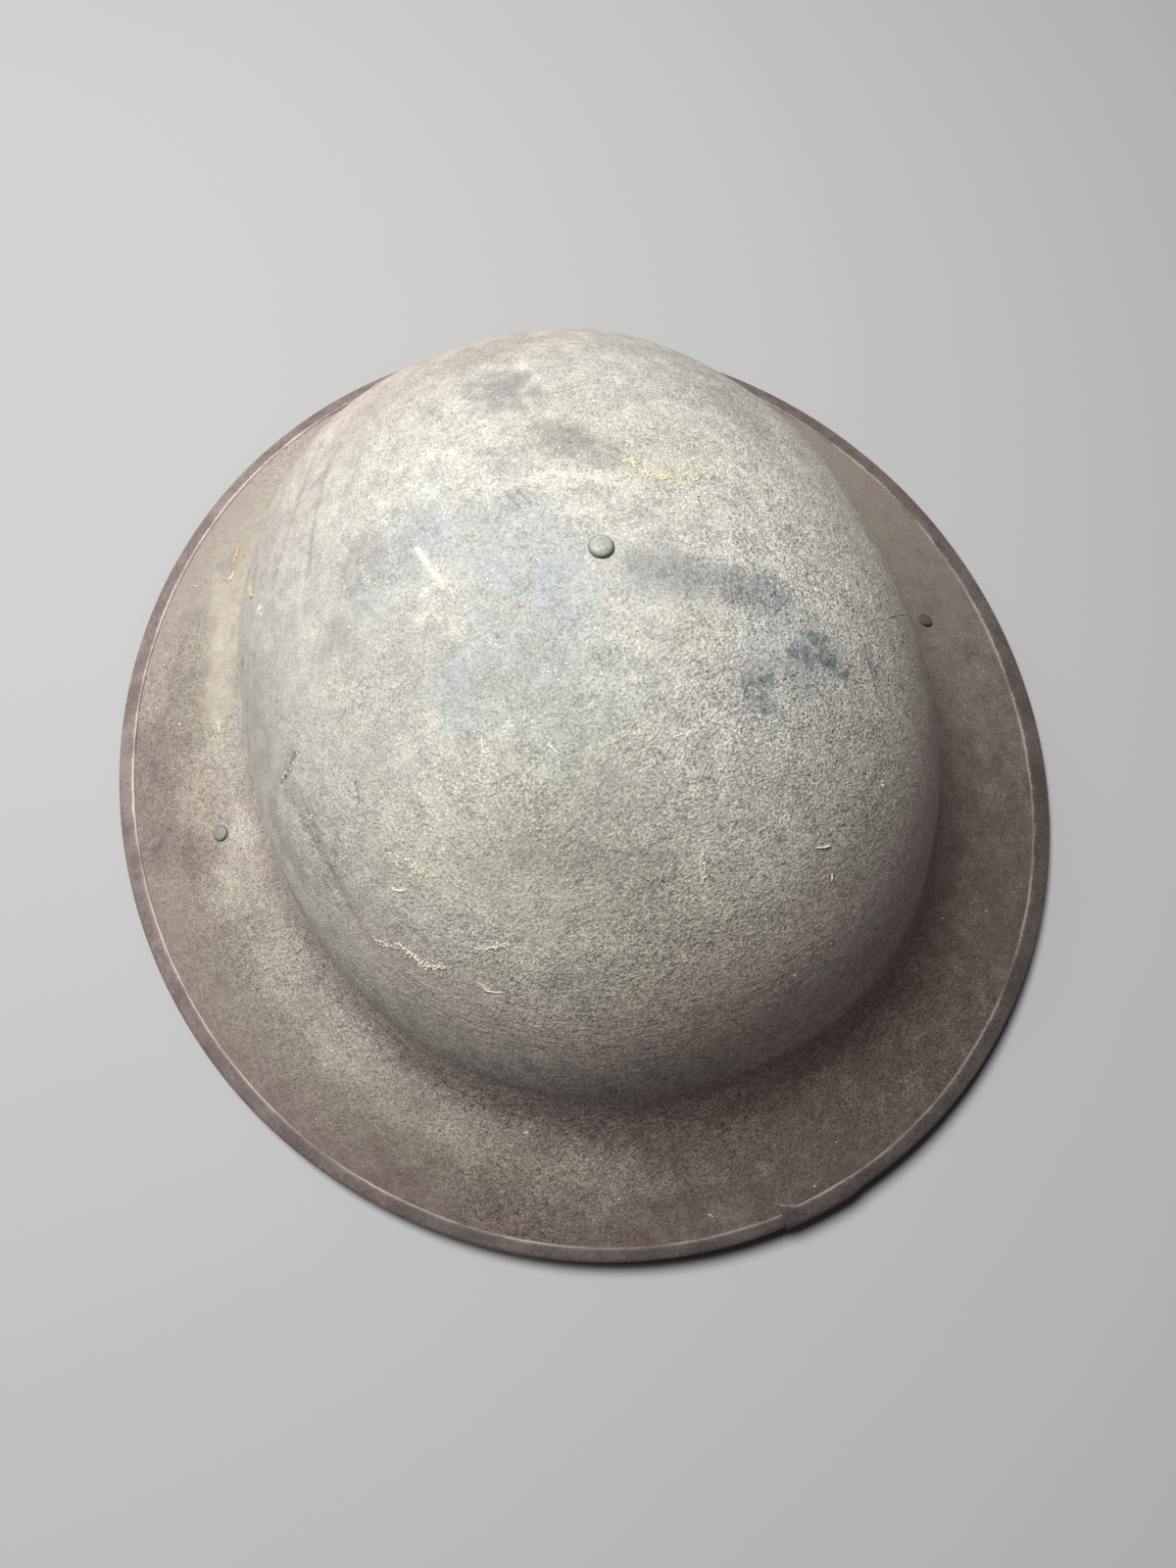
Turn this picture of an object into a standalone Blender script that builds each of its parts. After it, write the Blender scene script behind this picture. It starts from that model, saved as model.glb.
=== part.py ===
"""Brodie-pattern steel helmet: pressed bowl and brim, folded rim edging and three rivets.

Metres, +Z up. The helmet stands on its rim with the crown up. X runs from side to side and
Y from end to end, and the overlapped joint of the rim edging is at the -Y end. Heights in
the functions below are measured from the foot of the bowl at its ends; the whole helmet is
then lifted so that its lowest point is at zero.
"""
import math
from typing import NamedTuple

import bmesh
import bpy
from mathutils import Vector
from mathutils.bvhtree import BVHTree

# Bowl, measured on its outside.
BOWL_HALF_WIDTH = 0.0989
BOWL_HALF_LENGTH = 0.1173
BOWL_HEIGHT = 0.0971
BOWL_FULLNESS = 2.07        # exponent of the upright section, 2 for an ellipse
BOWL_SQUARENESS = 2.19      # exponent of the plan, 2 for an ellipse
FILLET_REACH = 0.0092       # how far the rounded foot of the bowl spreads outward
FOOT_DROP_SIDES = 0.0040    # the foot lies this much lower at the sides than at the ends

# Brim, measured to the outside of the edging.
RIM_HALF_WIDTH = 0.1460
RIM_HALF_LENGTH = 0.1575
BRIM_DROP_SIDES = 0.0150    # fall from the foot to the rim
BRIM_DROP_NEAR = 0.0130     # at the -Y end
BRIM_DROP_FAR = 0.0150      # at the +Y end

# Sheet metal.
STEEL = 0.0010
STRIP = 0.0006
GAP = 0.0003

# Rim edging: a strip folded over the brim's edge a little off centre, so that its upper lap
# is narrower at the -Y end and its lower lap wider.
LAP = 0.0058
LAP_SWING = 0.0018
JOINT_TURN = math.radians(-88.2)    # where the upper end of the strip stops
JOINT_OVERLAP = math.radians(8.0)   # how far it lies over the other end
JOINT_RAMP = math.radians(1.6)      # stretch over which it comes back down
JOINT_STEP = math.radians(0.06)     # thickness of the cut end, as an angle
JOINT_PROUD = 0.0010                # the upper end reaches this much further onto the brim

# Distances along the bowl are measured as on a ball of this radius.
MEAN_RADIUS = (BOWL_HALF_WIDTH + BOWL_HALF_LENGTH + BOWL_HEIGHT) / 3

# How finely the surfaces are divided.
SEGMENTS = 80
BOWL_RINGS = 15
FILLET_RINGS = 4
BRIM_RINGS = 2
RIM_ROUND_STEPS = 4


class Dent(NamedTuple):
    """A shallow round-edged dent in the bowl."""

    turn: float       # degrees around the bowl, 0 at +X
    height: float     # of the middle, above the foot
    along: float      # half-length level with the floor
    up: float         # half-breadth up the wall
    depth: float


class Bend(NamedTuple):
    """A point of a crease: a valley with its own width on the crown's side and the foot's."""

    turn: float       # degrees around the bowl, 0 at +X
    height: float     # above the foot
    depth: float
    above: float
    below: float


DENTS = [
    Dent(turn=170, height=0.032, along=0.026, up=0.024, depth=0.0010),
    Dent(turn=194, height=0.028, along=0.018, up=0.014, depth=0.0008),
    Dent(turn=40, height=0.060, along=0.034, up=0.026, depth=0.0009),
]
SHOULDER_CREASE = [
    Bend(turn=124, height=0.064, depth=0.0001, above=0.008, below=0.014),
    Bend(turn=134, height=0.069, depth=0.0012, above=0.009, below=0.020),
    Bend(turn=148, height=0.072, depth=0.0012, above=0.009, below=0.022),
    Bend(turn=160, height=0.072, depth=0.0011, above=0.009, below=0.022),
    Bend(turn=169, height=0.063, depth=0.0009, above=0.008, below=0.018),
    Bend(turn=178, height=0.050, depth=0.0009, above=0.007, below=0.016),
    Bend(turn=184, height=0.040, depth=0.0009, above=0.007, below=0.014),
    Bend(turn=182, height=0.018, depth=0.0002, above=0.007, below=0.012),
]
LOWER_CREASE = [
    Bend(turn=190, height=0.047, depth=0.0002, above=0.008, below=0.014),
    Bend(turn=198, height=0.051, depth=0.0011, above=0.008, below=0.018),
    Bend(turn=207, height=0.046, depth=0.0011, above=0.008, below=0.018),
    Bend(turn=216, height=0.038, depth=0.0002, above=0.008, below=0.016),
]
CREASES = [SHOULDER_CREASE, LOWER_CREASE]


class Rivet(NamedTuple):
    """A domed rivet: where its head sits in plan, and its sizes."""

    name: str
    x: float
    y: float
    head_radius: float
    head_height: float
    shank_radius: float
    set_radius: float      # of the flat end that is set inside the helmet
    set_height: float


RIVETS = [
    Rivet("crown_rivet", x=0.0021, y=-0.0049, head_radius=0.0030, head_height=0.0014,
          shank_radius=0.0018, set_radius=0.0045, set_height=0.0010),
    Rivet("brim_rivet_left", x=-0.1140, y=-0.0005, head_radius=0.0024, head_height=0.0009,
          shank_radius=0.0014, set_radius=0.0030, set_height=0.0008),
    Rivet("brim_rivet_right", x=0.1171, y=-0.0012, head_radius=0.0024, head_height=0.0009,
          shank_radius=0.0014, set_radius=0.0030, set_height=0.0008),
]
RIVET_SIDES = 20
DOME_STEPS = 4
DOME_EDGE = 0.0002          # upright edge under the dome
AXIS_MERGE = 0.00005        # welds the turned profile's ends on its axis
CUTTER_REACH = 0.004        # how far a hole's cutter passes each face of the sheet

# Finishes: colour, roughness, metallic.
DRAB_PAINT = ((0.21, 0.20, 0.16), 0.90, 0.0)
RIM_PAINT = ((0.12, 0.09, 0.075), 0.70, 0.0)
RIVET_STEEL = ((0.10, 0.10, 0.085), 0.55, 0.3)
SHARP_ANGLE = math.radians(40)


def unit_plan(turn, exponent):
    """Return x and y where the direction turn meets a superellipse of half-axes 1."""
    x, y = math.cos(turn), math.sin(turn)
    size = (abs(x) ** exponent + abs(y) ** exponent) ** (-1 / exponent)
    return x * size, y * size


def bowl_point(turn, lean):
    """Return a point of the bowl; lean is 0 at the crown and a quarter turn at the foot."""
    x, y = unit_plan(turn, BOWL_SQUARENESS)
    reach = math.sin(lean) ** (2 / BOWL_FULLNESS)
    rise = max(math.cos(lean), 0) ** (2 / BOWL_FULLNESS)
    return Vector((BOWL_HALF_WIDTH * reach * x, BOWL_HALF_LENGTH * reach * y, BOWL_HEIGHT * rise))


def lean_at(height):
    """Return the lean at which the bowl has this height."""
    return math.acos((height / BOWL_HEIGHT) ** (BOWL_FULLNESS / 2))


def map_step(turn, end_turn, lean, end_lean, here):
    """Return how far around and down the bowl one point lies from another, at the lean here."""
    around = (end_turn - turn + math.pi) % math.tau - math.pi
    return Vector((around * math.sin(here), end_lean - lean)) * MEAN_RADIUS


def dent_depth(dent, turn, lean):
    """Return how deep a dent is here."""
    offset = map_step(math.radians(dent.turn), turn, lean_at(dent.height), lean, lean)
    away = (offset.x / dent.along) ** 2 + (offset.y / dent.up) ** 2
    return dent.depth * max(0, 1 - away) ** 2


def crease_depth(crease, turn, lean):
    """Return how deep a crease is here: a valley along the line through its bends."""
    deepest = 0
    for start, end in zip(crease, crease[1:]):
        start_turn, start_lean = math.radians(start.turn), lean_at(start.height)
        offset = map_step(start_turn, turn, start_lean, lean, lean)
        line = map_step(start_turn, math.radians(end.turn), start_lean, lean_at(end.height), lean)
        t = min(1, max(0, offset.dot(line) / line.length_squared))
        foot_side = line.x * offset.y - line.y * offset.x > 0
        widths = (start.below, end.below) if foot_side else (start.above, end.above)
        width = widths[0] + (widths[1] - widths[0]) * t
        depth = start.depth + (end.depth - start.depth) * t
        away = (offset - line * t).length / width
        deepest = max(deepest, depth * max(0, 1 - away) ** 2)
    return deepest


def dented_point(turn, lean):
    """Return a point of the bowl with its dents and creases pressed in."""
    point = bowl_point(turn, lean)
    outward = Vector((point.x / BOWL_HALF_WIDTH ** 2,
                      point.y / BOWL_HALF_LENGTH ** 2,
                      point.z / BOWL_HEIGHT ** 2)).normalized()
    depth = sum(dent_depth(dent, turn, lean) for dent in DENTS)
    depth += sum(crease_depth(crease, turn, lean) for crease in CREASES)
    return point - outward * depth


def brim_line(turn):
    """Return the brim's inner end, where the fillet stops, and its outermost end."""
    sides = math.cos(turn) ** 2
    foot_height = -FOOT_DROP_SIDES * sides
    x, y = unit_plan(turn, BOWL_SQUARENESS)
    foot = Vector(((BOWL_HALF_WIDTH + FILLET_REACH) * x,
                   (BOWL_HALF_LENGTH + FILLET_REACH) * y,
                   foot_height))
    end_drop = BRIM_DROP_NEAR if turn < 0 else BRIM_DROP_FAR
    drop = BRIM_DROP_SIDES * sides + end_drop * (1 - sides)
    rim = Vector((RIM_HALF_WIDTH * math.cos(turn),
                  RIM_HALF_LENGTH * math.sin(turn),
                  foot_height - drop))
    return foot, rim


def curve_point(start, corner, end, t):
    """Return a point of the curve that leaves start and reaches end along the corner's sides."""
    return start.lerp(corner, t).lerp(corner.lerp(end, t), t)


def shell_section(turn):
    """Return the outer face of the shell from beside the crown down to the brim's edge."""
    foot, rim = brim_line(turn)
    wall = bowl_point(turn, math.pi / 2)
    inward = (foot - rim) / (foot - rim).xy.length
    corner = foot + inward * (foot - wall).xy.length
    lowest_lean = lean_at(corner.z + (foot - corner).length)
    points = [dented_point(turn, lowest_lean * i / BOWL_RINGS) for i in range(1, BOWL_RINGS + 1)]
    wall_end = points[-1]
    for i in range(1, FILLET_RINGS + 1):
        points.append(curve_point(wall_end, corner, foot, i / FILLET_RINGS))
    edge = rim + inward.normalized() * (STRIP + GAP)
    for i in range(1, BRIM_RINGS + 1):
        points.append(foot.lerp(edge, i / BRIM_RINGS))
    return points


def joint_rise(turn):
    """Return how much of the overlap there is here: 1 on it, 0 off it."""
    past = turn - JOINT_TURN
    if past <= 0 or past >= JOINT_OVERLAP + JOINT_RAMP:
        return 0.0
    return min(past / JOINT_STEP, 1.0, (JOINT_OVERLAP + JOINT_RAMP - past) / JOINT_RAMP)


def edging_section(turn):
    """Return the edging's section, from its upper lap over the edge to its lower lap and back."""
    foot, rim = brim_line(turn)
    outward = (rim - foot).normalized()
    along = Vector((-RIM_HALF_WIDTH * math.sin(turn), RIM_HALF_LENGTH * math.cos(turn), 0)).normalized()
    normal = outward.cross(along).normalized()
    middle = rim - normal * (STEEL / 2)

    slot = STEEL / 2 + GAP
    radius = slot + STRIP
    rise = joint_rise(turn)
    outer = radius + STRIP * rise
    upper = LAP + LAP_SWING * math.sin(turn) + JOINT_PROUD * rise
    lower = LAP - LAP_SWING * math.sin(turn)
    profile = [(-upper, outer)]
    for i in range(RIM_ROUND_STEPS + 1):
        angle = math.pi / 2 - math.pi * i / RIM_ROUND_STEPS
        profile.append((outer * math.cos(angle) - radius, outer * math.sin(angle)))
    profile += [(-lower, -outer), (-lower, -slot), (-STRIP, -slot), (-STRIP, slot), (-upper, slot)]
    return [middle + outward * out + normal * high for out, high in profile]


def azimuths():
    """Return the turns of the sections, evenly spread with four more at the edging's joint."""
    turns = [math.tau * i / SEGMENTS - math.pi for i in range(SEGMENTS)]
    turns += [JOINT_TURN, JOINT_TURN + JOINT_STEP]
    turns += [JOINT_TURN + JOINT_OVERLAP, JOINT_TURN + JOINT_OVERLAP + JOINT_RAMP]
    return sorted(turns)


def loft(bm, sections, closed):
    """Join the sections, which run once around the helmet, with quads."""
    rows = [[bm.verts.new(point) for point in section] for section in sections]
    count = len(rows[0])
    for i, row in enumerate(rows):
        after = rows[(i + 1) % len(rows)]
        for j in range(count if closed else count - 1):
            k = (j + 1) % count
            bm.faces.new((row[j], row[k], after[k], after[j]))
    return rows


def paint(name, colour, roughness, metallic):
    """Return a Principled material."""
    material = bpy.data.materials.new(name)
    material.use_nodes = True
    shader = material.node_tree.nodes["Principled BSDF"]
    shader.inputs["Base Color"].default_value = (*colour, 1)
    shader.inputs["Roughness"].default_value = roughness
    shader.inputs["Metallic"].default_value = metallic
    return material


def add_object(name, bm, collection, material):
    """Turn a bmesh into a smooth-shaded object."""
    mesh = bpy.data.meshes.new(name)
    bm.to_mesh(mesh)
    bm.free()
    mesh.shade_smooth()
    mesh.set_sharp_from_angle(angle=SHARP_ANGLE)
    item = bpy.data.objects.new(name, mesh)
    if material:
        mesh.materials.append(material)
    collection.objects.link(item)
    return item


def make_shell(collection, cutters):
    """Make the bowl and brim, and return it with a search tree of its outer face."""
    bm = bmesh.new()
    rows = loft(bm, [shell_section(turn) for turn in azimuths()], closed=False)
    crown = bm.verts.new((0, 0, BOWL_HEIGHT))
    for i, row in enumerate(rows):
        bm.faces.new((crown, row[0], rows[(i + 1) % len(rows)][0]))
    bm.normal_update()
    surface = BVHTree.FromBMesh(bm)
    shell = add_object("helmet_shell", bm, collection, paint("drab_paint", *DRAB_PAINT))
    wall = shell.modifiers.new("sheet", "SOLIDIFY")
    wall.thickness = STEEL
    wall.offset = -1
    wall.use_even_offset = True
    holes = shell.modifiers.new("rivet_holes", "BOOLEAN")
    holes.operation = "DIFFERENCE"
    holes.solver = "EXACT"
    holes.operand_type = "COLLECTION"
    holes.collection = cutters
    return shell, surface


def make_edging(collection):
    """Make the folded strip round the brim's edge."""
    bm = bmesh.new()
    loft(bm, [edging_section(turn) for turn in azimuths()], closed=True)
    return add_object("rim_edging", bm, collection, paint("rim_paint", *RIM_PAINT))


def rivet_profile(rivet):
    """Return the rivet's half-section, from the top of its dome down its outer side."""
    under = GAP
    edge = under + DOME_EDGE
    points = []
    for i in range(DOME_STEPS + 1):
        angle = math.pi / 2 * i / DOME_STEPS
        points.append((rivet.head_radius * math.sin(angle),
                       edge + (rivet.head_height - DOME_EDGE) * math.cos(angle)))
    inside = -STEEL - GAP
    points += [(rivet.head_radius, under), (rivet.shank_radius, under), (rivet.shank_radius, inside),
               (rivet.set_radius, inside), (rivet.set_radius, inside - rivet.set_height),
               (0, inside - rivet.set_height)]
    return points


def make_rivet(rivet, surface, collection, cutters, material):
    """Turn a rivet, set it square to the shell and give the shell its hole."""
    above = Vector((rivet.x, rivet.y, 2 * BOWL_HEIGHT))
    place, normal, _, _ = surface.ray_cast(above, Vector((0, 0, -1)))
    rotation = Vector((0, 0, 1)).rotation_difference(normal).to_euler()

    bm = bmesh.new()
    verts = [bm.verts.new((radius, 0, height)) for radius, height in rivet_profile(rivet)]
    for upper, lower in zip(verts, verts[1:]):
        bm.edges.new((upper, lower))
    body = add_object(rivet.name, bm, collection, material)
    screw = body.modifiers.new("turned", "SCREW")
    screw.steps = screw.render_steps = RIVET_SIDES
    screw.use_merge_vertices = True
    screw.merge_threshold = AXIS_MERGE
    screw.use_smooth_shade = True

    bm = bmesh.new()
    bmesh.ops.create_cone(bm, cap_ends=True, segments=RIVET_SIDES, depth=2 * CUTTER_REACH,
                          radius1=rivet.shank_radius + GAP, radius2=rivet.shank_radius + GAP)
    cutter = add_object(f"{rivet.name}_hole", bm, cutters, None)
    cutter.hide_render = True
    cutter.display_type = "WIRE"
    for item in (body, cutter):
        item.location = place
        item.rotation_euler = rotation
    return body, cutter


def main():
    """Build the helmet standing on its rim at the origin."""
    for item in list(bpy.data.objects):
        bpy.data.objects.remove(item)
    helmet = bpy.data.collections.new("brodie_helmet")
    cutters = bpy.data.collections.new("cutters")
    for collection in (helmet, cutters):
        bpy.context.scene.collection.children.link(collection)

    shell, surface = make_shell(helmet, cutters)
    edging = make_edging(helmet)
    rivet_steel = paint("rivet_steel", *RIVET_STEEL)
    parts = [shell, edging]
    for rivet in RIVETS:
        parts += make_rivet(rivet, surface, helmet, cutters, rivet_steel)

    stand = bpy.data.objects.new("stand_height", None)
    helmet.objects.link(stand)
    stand.location.z = -min(vert.co.z for vert in edging.data.vertices)
    for item in parts:
        item.parent = stand


main()
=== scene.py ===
"""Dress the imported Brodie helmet: gritted drab paint, folded rim edging, rivets, crusts and stains.

Metres, +Z up. The helmet stands on its rim with the crown up, X runs from side to side and the
overlapped joint of the edging is at the -Y end. Heights in the forms and marks below are measured
from the foot of the bowl at its ends, and Form.stand lifts them to the floor's frame.
"""
from __future__ import annotations

import logging
import math
from collections.abc import Iterable, Mapping, Sequence
from dataclasses import dataclass
from enum import Enum
from typing import Any

import bpy
import numpy as np
from mathutils import Matrix, Vector, noise

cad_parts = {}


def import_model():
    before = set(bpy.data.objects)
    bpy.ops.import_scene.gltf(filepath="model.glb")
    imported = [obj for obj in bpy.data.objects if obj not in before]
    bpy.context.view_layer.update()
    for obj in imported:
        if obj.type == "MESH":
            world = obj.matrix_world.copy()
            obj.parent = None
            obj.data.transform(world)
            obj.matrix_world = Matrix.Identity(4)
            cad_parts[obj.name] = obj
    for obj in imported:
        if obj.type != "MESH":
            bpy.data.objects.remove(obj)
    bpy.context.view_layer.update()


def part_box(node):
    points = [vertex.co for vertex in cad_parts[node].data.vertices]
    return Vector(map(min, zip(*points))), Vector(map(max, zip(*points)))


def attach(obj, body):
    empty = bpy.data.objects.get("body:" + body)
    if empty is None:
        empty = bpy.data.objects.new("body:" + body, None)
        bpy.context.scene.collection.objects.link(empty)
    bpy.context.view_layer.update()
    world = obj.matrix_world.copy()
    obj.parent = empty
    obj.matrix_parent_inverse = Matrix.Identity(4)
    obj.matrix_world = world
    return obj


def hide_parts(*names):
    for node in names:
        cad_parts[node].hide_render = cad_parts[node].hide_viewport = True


Array = np.ndarray
Colour = Point = tuple[float, float, float]
Face = tuple[int, ...]
Socket = bpy.types.NodeSocket
Tree = bpy.types.NodeTree
Material = bpy.types.Material
Piece = bpy.types.Object

LOG = logging.getLogger("brodie_helmet")
MM = 0.001
SHARP_ANGLE = 50.0
EDGING_SHARP_ANGLE = 45.0
NO_SHARP_EDGES = 180.0
DENT_SCALE = 420.0
KNOB_SCALE = 2600.0


@dataclass(frozen=True)
class Dent:
    """A shallow round-edged dent in the bowl."""

    turn: float
    height: float
    along: float
    up: float
    depth: float


@dataclass(frozen=True)
class Bend:
    """A point of a crease: a valley with its own width on the crown's side and the foot's."""

    turn: float
    height: float
    depth: float
    above: float
    below: float


DENTS = (
    Dent(turn=170, height=0.032, along=0.026, up=0.024, depth=0.0010),
    Dent(turn=194, height=0.028, along=0.018, up=0.014, depth=0.0008),
    Dent(turn=40, height=0.060, along=0.034, up=0.026, depth=0.0009),
)
SHOULDER_CREASE = (
    # Turn, height, depth, above, below.
    Bend(124, 0.064, 0.0001, 0.008, 0.014),
    Bend(134, 0.069, 0.0012, 0.009, 0.020),
    Bend(148, 0.072, 0.0012, 0.009, 0.022),
    Bend(160, 0.072, 0.0011, 0.009, 0.022),
    Bend(169, 0.063, 0.0009, 0.008, 0.018),
    Bend(178, 0.050, 0.0009, 0.007, 0.016),
    Bend(184, 0.040, 0.0009, 0.007, 0.014),
    Bend(182, 0.018, 0.0002, 0.007, 0.012),
)
LOWER_CREASE = (
    Bend(190, 0.047, 0.0002, 0.008, 0.014),
    Bend(198, 0.051, 0.0011, 0.008, 0.018),
    Bend(207, 0.046, 0.0011, 0.008, 0.018),
    Bend(216, 0.038, 0.0002, 0.008, 0.016),
)


@dataclass(frozen=True)
class Form:
    """The helmet's sizes, and the formulas of its outer face over arrays of turns."""

    stand: float
    half_width: float = 0.0989
    half_length: float = 0.1173
    height: float = 0.0971
    fullness: float = 2.07
    squareness: float = 2.19
    fillet_reach: float = 0.0092
    foot_drop: float = 0.0040
    rim_half_width: float = 0.1460
    rim_half_length: float = 0.1575
    drop_sides: float = 0.0150
    drop_near: float = 0.0130
    drop_far: float = 0.0150
    steel: float = 0.0010
    strip: float = 0.0006
    gap: float = 0.0003
    dents: tuple[Dent, ...] = DENTS
    creases: tuple[tuple[Bend, ...], ...] = (SHOULDER_CREASE, LOWER_CREASE)

    @property
    def mean_radius(self) -> float:
        """Return the radius of the ball on which distances along the bowl are measured."""
        return (self.half_width + self.half_length + self.height) / 3

    def unit_plan(self, turn: Array) -> Array:
        """Return where each turn meets the bowl's plan, for half-axes of 1.

        Args:
            turn: Angles around the crown.

        Returns:
            An x and a y a turn.
        """
        x, y = np.cos(turn), np.sin(turn)
        size = (np.abs(x) ** self.squareness + np.abs(y) ** self.squareness) ** (-1 / self.squareness)
        return np.stack((x * size, y * size), axis=-1)

    def bowl(self, turn: Array, lean: Array) -> Array:
        """Return points of the smooth bowl.

        Args:
            turn: Angles around the crown, 0 at +X.
            lean: Angles down from the crown, a quarter turn at the foot.

        Returns:
            One point a row.
        """
        plan = self.unit_plan(turn)
        reach = np.sin(lean) ** (2 / self.fullness)
        rise = np.maximum(np.cos(lean), 0) ** (2 / self.fullness)
        return np.stack((self.half_width * reach * plan[..., 0],
                         self.half_length * reach * plan[..., 1],
                         self.height * rise), axis=-1)

    def lifted(self, line: Sequence[Point]) -> list[Array]:
        """Return points in millimetres above the foot as metres above the floor."""
        return [np.array(point) * MM + (0, 0, self.stand) for point in line]

    def lean_at(self, height: Array | float) -> Array:
        """Return the lean at which the bowl has this height."""
        return np.arccos((np.asarray(height) / self.height) ** (self.fullness / 2))

    def map_step(self, start: Dent | Bend, turn: Array | float, lean: Array | float, here: Array) -> Array:
        """Return how far around and down the bowl points lie from start, at the leans here.

        Args:
            start: The dent or bend to measure from.
            turn: Angles around the crown.
            lean: Angles down from the crown.
            here: The leans at which a turn's width is measured.

        Returns:
            The two distances a point, in metres.
        """
        around = (turn - math.radians(start.turn) + math.pi) % math.tau - math.pi
        down = np.broadcast_to(lean - self.lean_at(start.height), here.shape)
        return np.stack((around * np.sin(here), down), axis=-1) * self.mean_radius

    def dent_depth(self, dent: Dent, turn: Array, lean: Array) -> Array:
        """Return how deep a dent is at each point.

        Args:
            dent: The dent.
            turn: Angles around the crown.
            lean: Angles down from the crown.

        Returns:
            One depth a point, in metres.
        """
        offset = self.map_step(dent, turn, lean, lean)
        away = (offset[..., 0] / dent.along) ** 2 + (offset[..., 1] / dent.up) ** 2
        return dent.depth * np.maximum(0, 1 - away) ** 2

    def crease_depth(self, crease: Sequence[Bend], turn: Array, lean: Array) -> Array:
        """Return how deep a crease is at each point.

        Args:
            crease: The bends of its valley, in order.
            turn: Angles around the crown.
            lean: Angles down from the crown.

        Returns:
            One depth a point, in metres.
        """
        deepest = np.zeros_like(lean)
        for start, end in zip(crease, crease[1:]):
            offset = self.map_step(start, turn, lean, lean)
            line = self.map_step(start, math.radians(end.turn), self.lean_at(end.height), lean)
            length = np.maximum((line ** 2).sum(-1), 1e-12)
            t = np.clip((offset * line).sum(-1) / length, 0, 1)
            foot_side = line[..., 0] * offset[..., 1] - line[..., 1] * offset[..., 0] > 0
            below = start.below + (end.below - start.below) * t
            above = start.above + (end.above - start.above) * t
            away = np.linalg.norm(offset - line * t[..., None], axis=-1) / np.where(foot_side, below, above)
            depth = start.depth + (end.depth - start.depth) * t
            deepest = np.maximum(deepest, depth * np.maximum(0, 1 - away) ** 2)
        return deepest

    def dented(self, turn: Array, lean: Array) -> Array:
        """Return points of the bowl with its dents and creases pressed in.

        Args:
            turn: Angles around the crown.
            lean: Angles down from the crown.

        Returns:
            One point a row.
        """
        point = self.bowl(turn, lean)
        outward = point / np.array((self.half_width, self.half_length, self.height)) ** 2
        outward /= np.linalg.norm(outward, axis=-1, keepdims=True)
        depth = sum(self.dent_depth(dent, turn, lean) for dent in self.dents)
        depth = depth + sum(self.crease_depth(crease, turn, lean) for crease in self.creases)
        return point - outward * depth[..., None]

    def brim_line(self, turn: Array) -> tuple[Array, Array]:
        """Return the brim's inner ends, where the fillet stops, and its outermost ends.

        Args:
            turn: Angles around the crown.

        Returns:
            The inner ends and the outermost ends, one point a row.
        """
        sides = np.cos(turn) ** 2
        foot_height = -self.foot_drop * sides
        plan = self.unit_plan(turn)
        foot = np.stack(((self.half_width + self.fillet_reach) * plan[..., 0],
                         (self.half_length + self.fillet_reach) * plan[..., 1],
                         foot_height), axis=-1)
        end_drop = np.where(np.sin(turn) < 0, self.drop_near, self.drop_far)
        drop = self.drop_sides * sides + end_drop * (1 - sides)
        rim = np.stack((self.rim_half_width * np.cos(turn),
                        self.rim_half_length * np.sin(turn),
                        foot_height - drop), axis=-1)
        return foot, rim

    def face(self, turn: Array, travel: Array) -> Array:
        """Return points of the whole outer face.

        Args:
            turn: Angles around the crown.
            travel: 0 at the crown, 1 where the bowl turns into the fillet, 2 where the fillet
                turns into the brim, and 3 at the brim's edge.

        Returns:
            One point a row, in the floor's frame.
        """
        foot, rim = self.brim_line(turn)
        wall = self.bowl(turn, np.full_like(turn, math.pi / 2))
        inward = (foot - rim) / np.linalg.norm((foot - rim)[..., :2], axis=-1, keepdims=True)
        corner = foot + inward * np.linalg.norm((foot - wall)[..., :2], axis=-1, keepdims=True)
        lowest = self.lean_at(corner[..., 2] + np.linalg.norm(foot - corner, axis=-1))
        on_bowl = self.dented(turn, lowest * np.clip(travel, 1e-4, 1))
        t = np.clip(travel - 1, 0, 1)[..., None]
        start = corner + (on_bowl - corner) * (1 - t)
        on_fillet = start + (corner + (foot - corner) * t - start) * t
        edge = rim + inward / np.linalg.norm(inward, axis=-1, keepdims=True) * (self.strip + self.gap)
        on_brim = foot + (edge - foot) * np.clip(travel - 2, 0, 1)[..., None]
        beyond = travel[..., None]
        point = np.where(beyond <= 1, on_bowl, np.where(beyond <= 2, on_fillet, on_brim))
        return point + np.array((0, 0, self.stand))

    def outward(self, turn: Array, travel: Array) -> Array:
        """Return the outer face's unit normals, straight up where the face gives none.

        Args:
            turn: Angles around the crown.
            travel: 0 at the crown, 1 at the fillet, 2 at the brim and 3 at its edge.

        Returns:
            One normal a row.
        """
        step = 1e-4
        lower, higher = np.minimum(travel + step, 3), np.maximum(travel - step, 2 * step)
        around = self.face(turn + step, travel) - self.face(turn - step, travel)
        normal = np.cross(self.face(turn, lower) - self.face(turn, higher), around)
        length = np.linalg.norm(normal, axis=-1, keepdims=True)
        return np.where(length > 0, normal / np.maximum(length, 1e-15), np.array((0.0, 0.0, 1.0)))


class Tone(Enum):
    """What a mark does to the paint: the channel of the mesh attribute that holds it."""

    STAIN = ("soiling", 0)
    BLUE = ("soiling", 1)
    BROWN = ("soiling", 2)
    CREAM = ("bloom", 0)
    OCHRE = ("bloom", 1)
    RUST = ("bloom", 2)
    GRIT = ("paint_film", 0)
    RIPPLE = ("paint_film", 1)
    DUST = ("paint_film", 2)
    PLUM = ("cast", 0)
    OLIVE = ("cast", 1)
    SHADE = ("cast", 2)
    CHIP = ("wear", 0)


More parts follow.
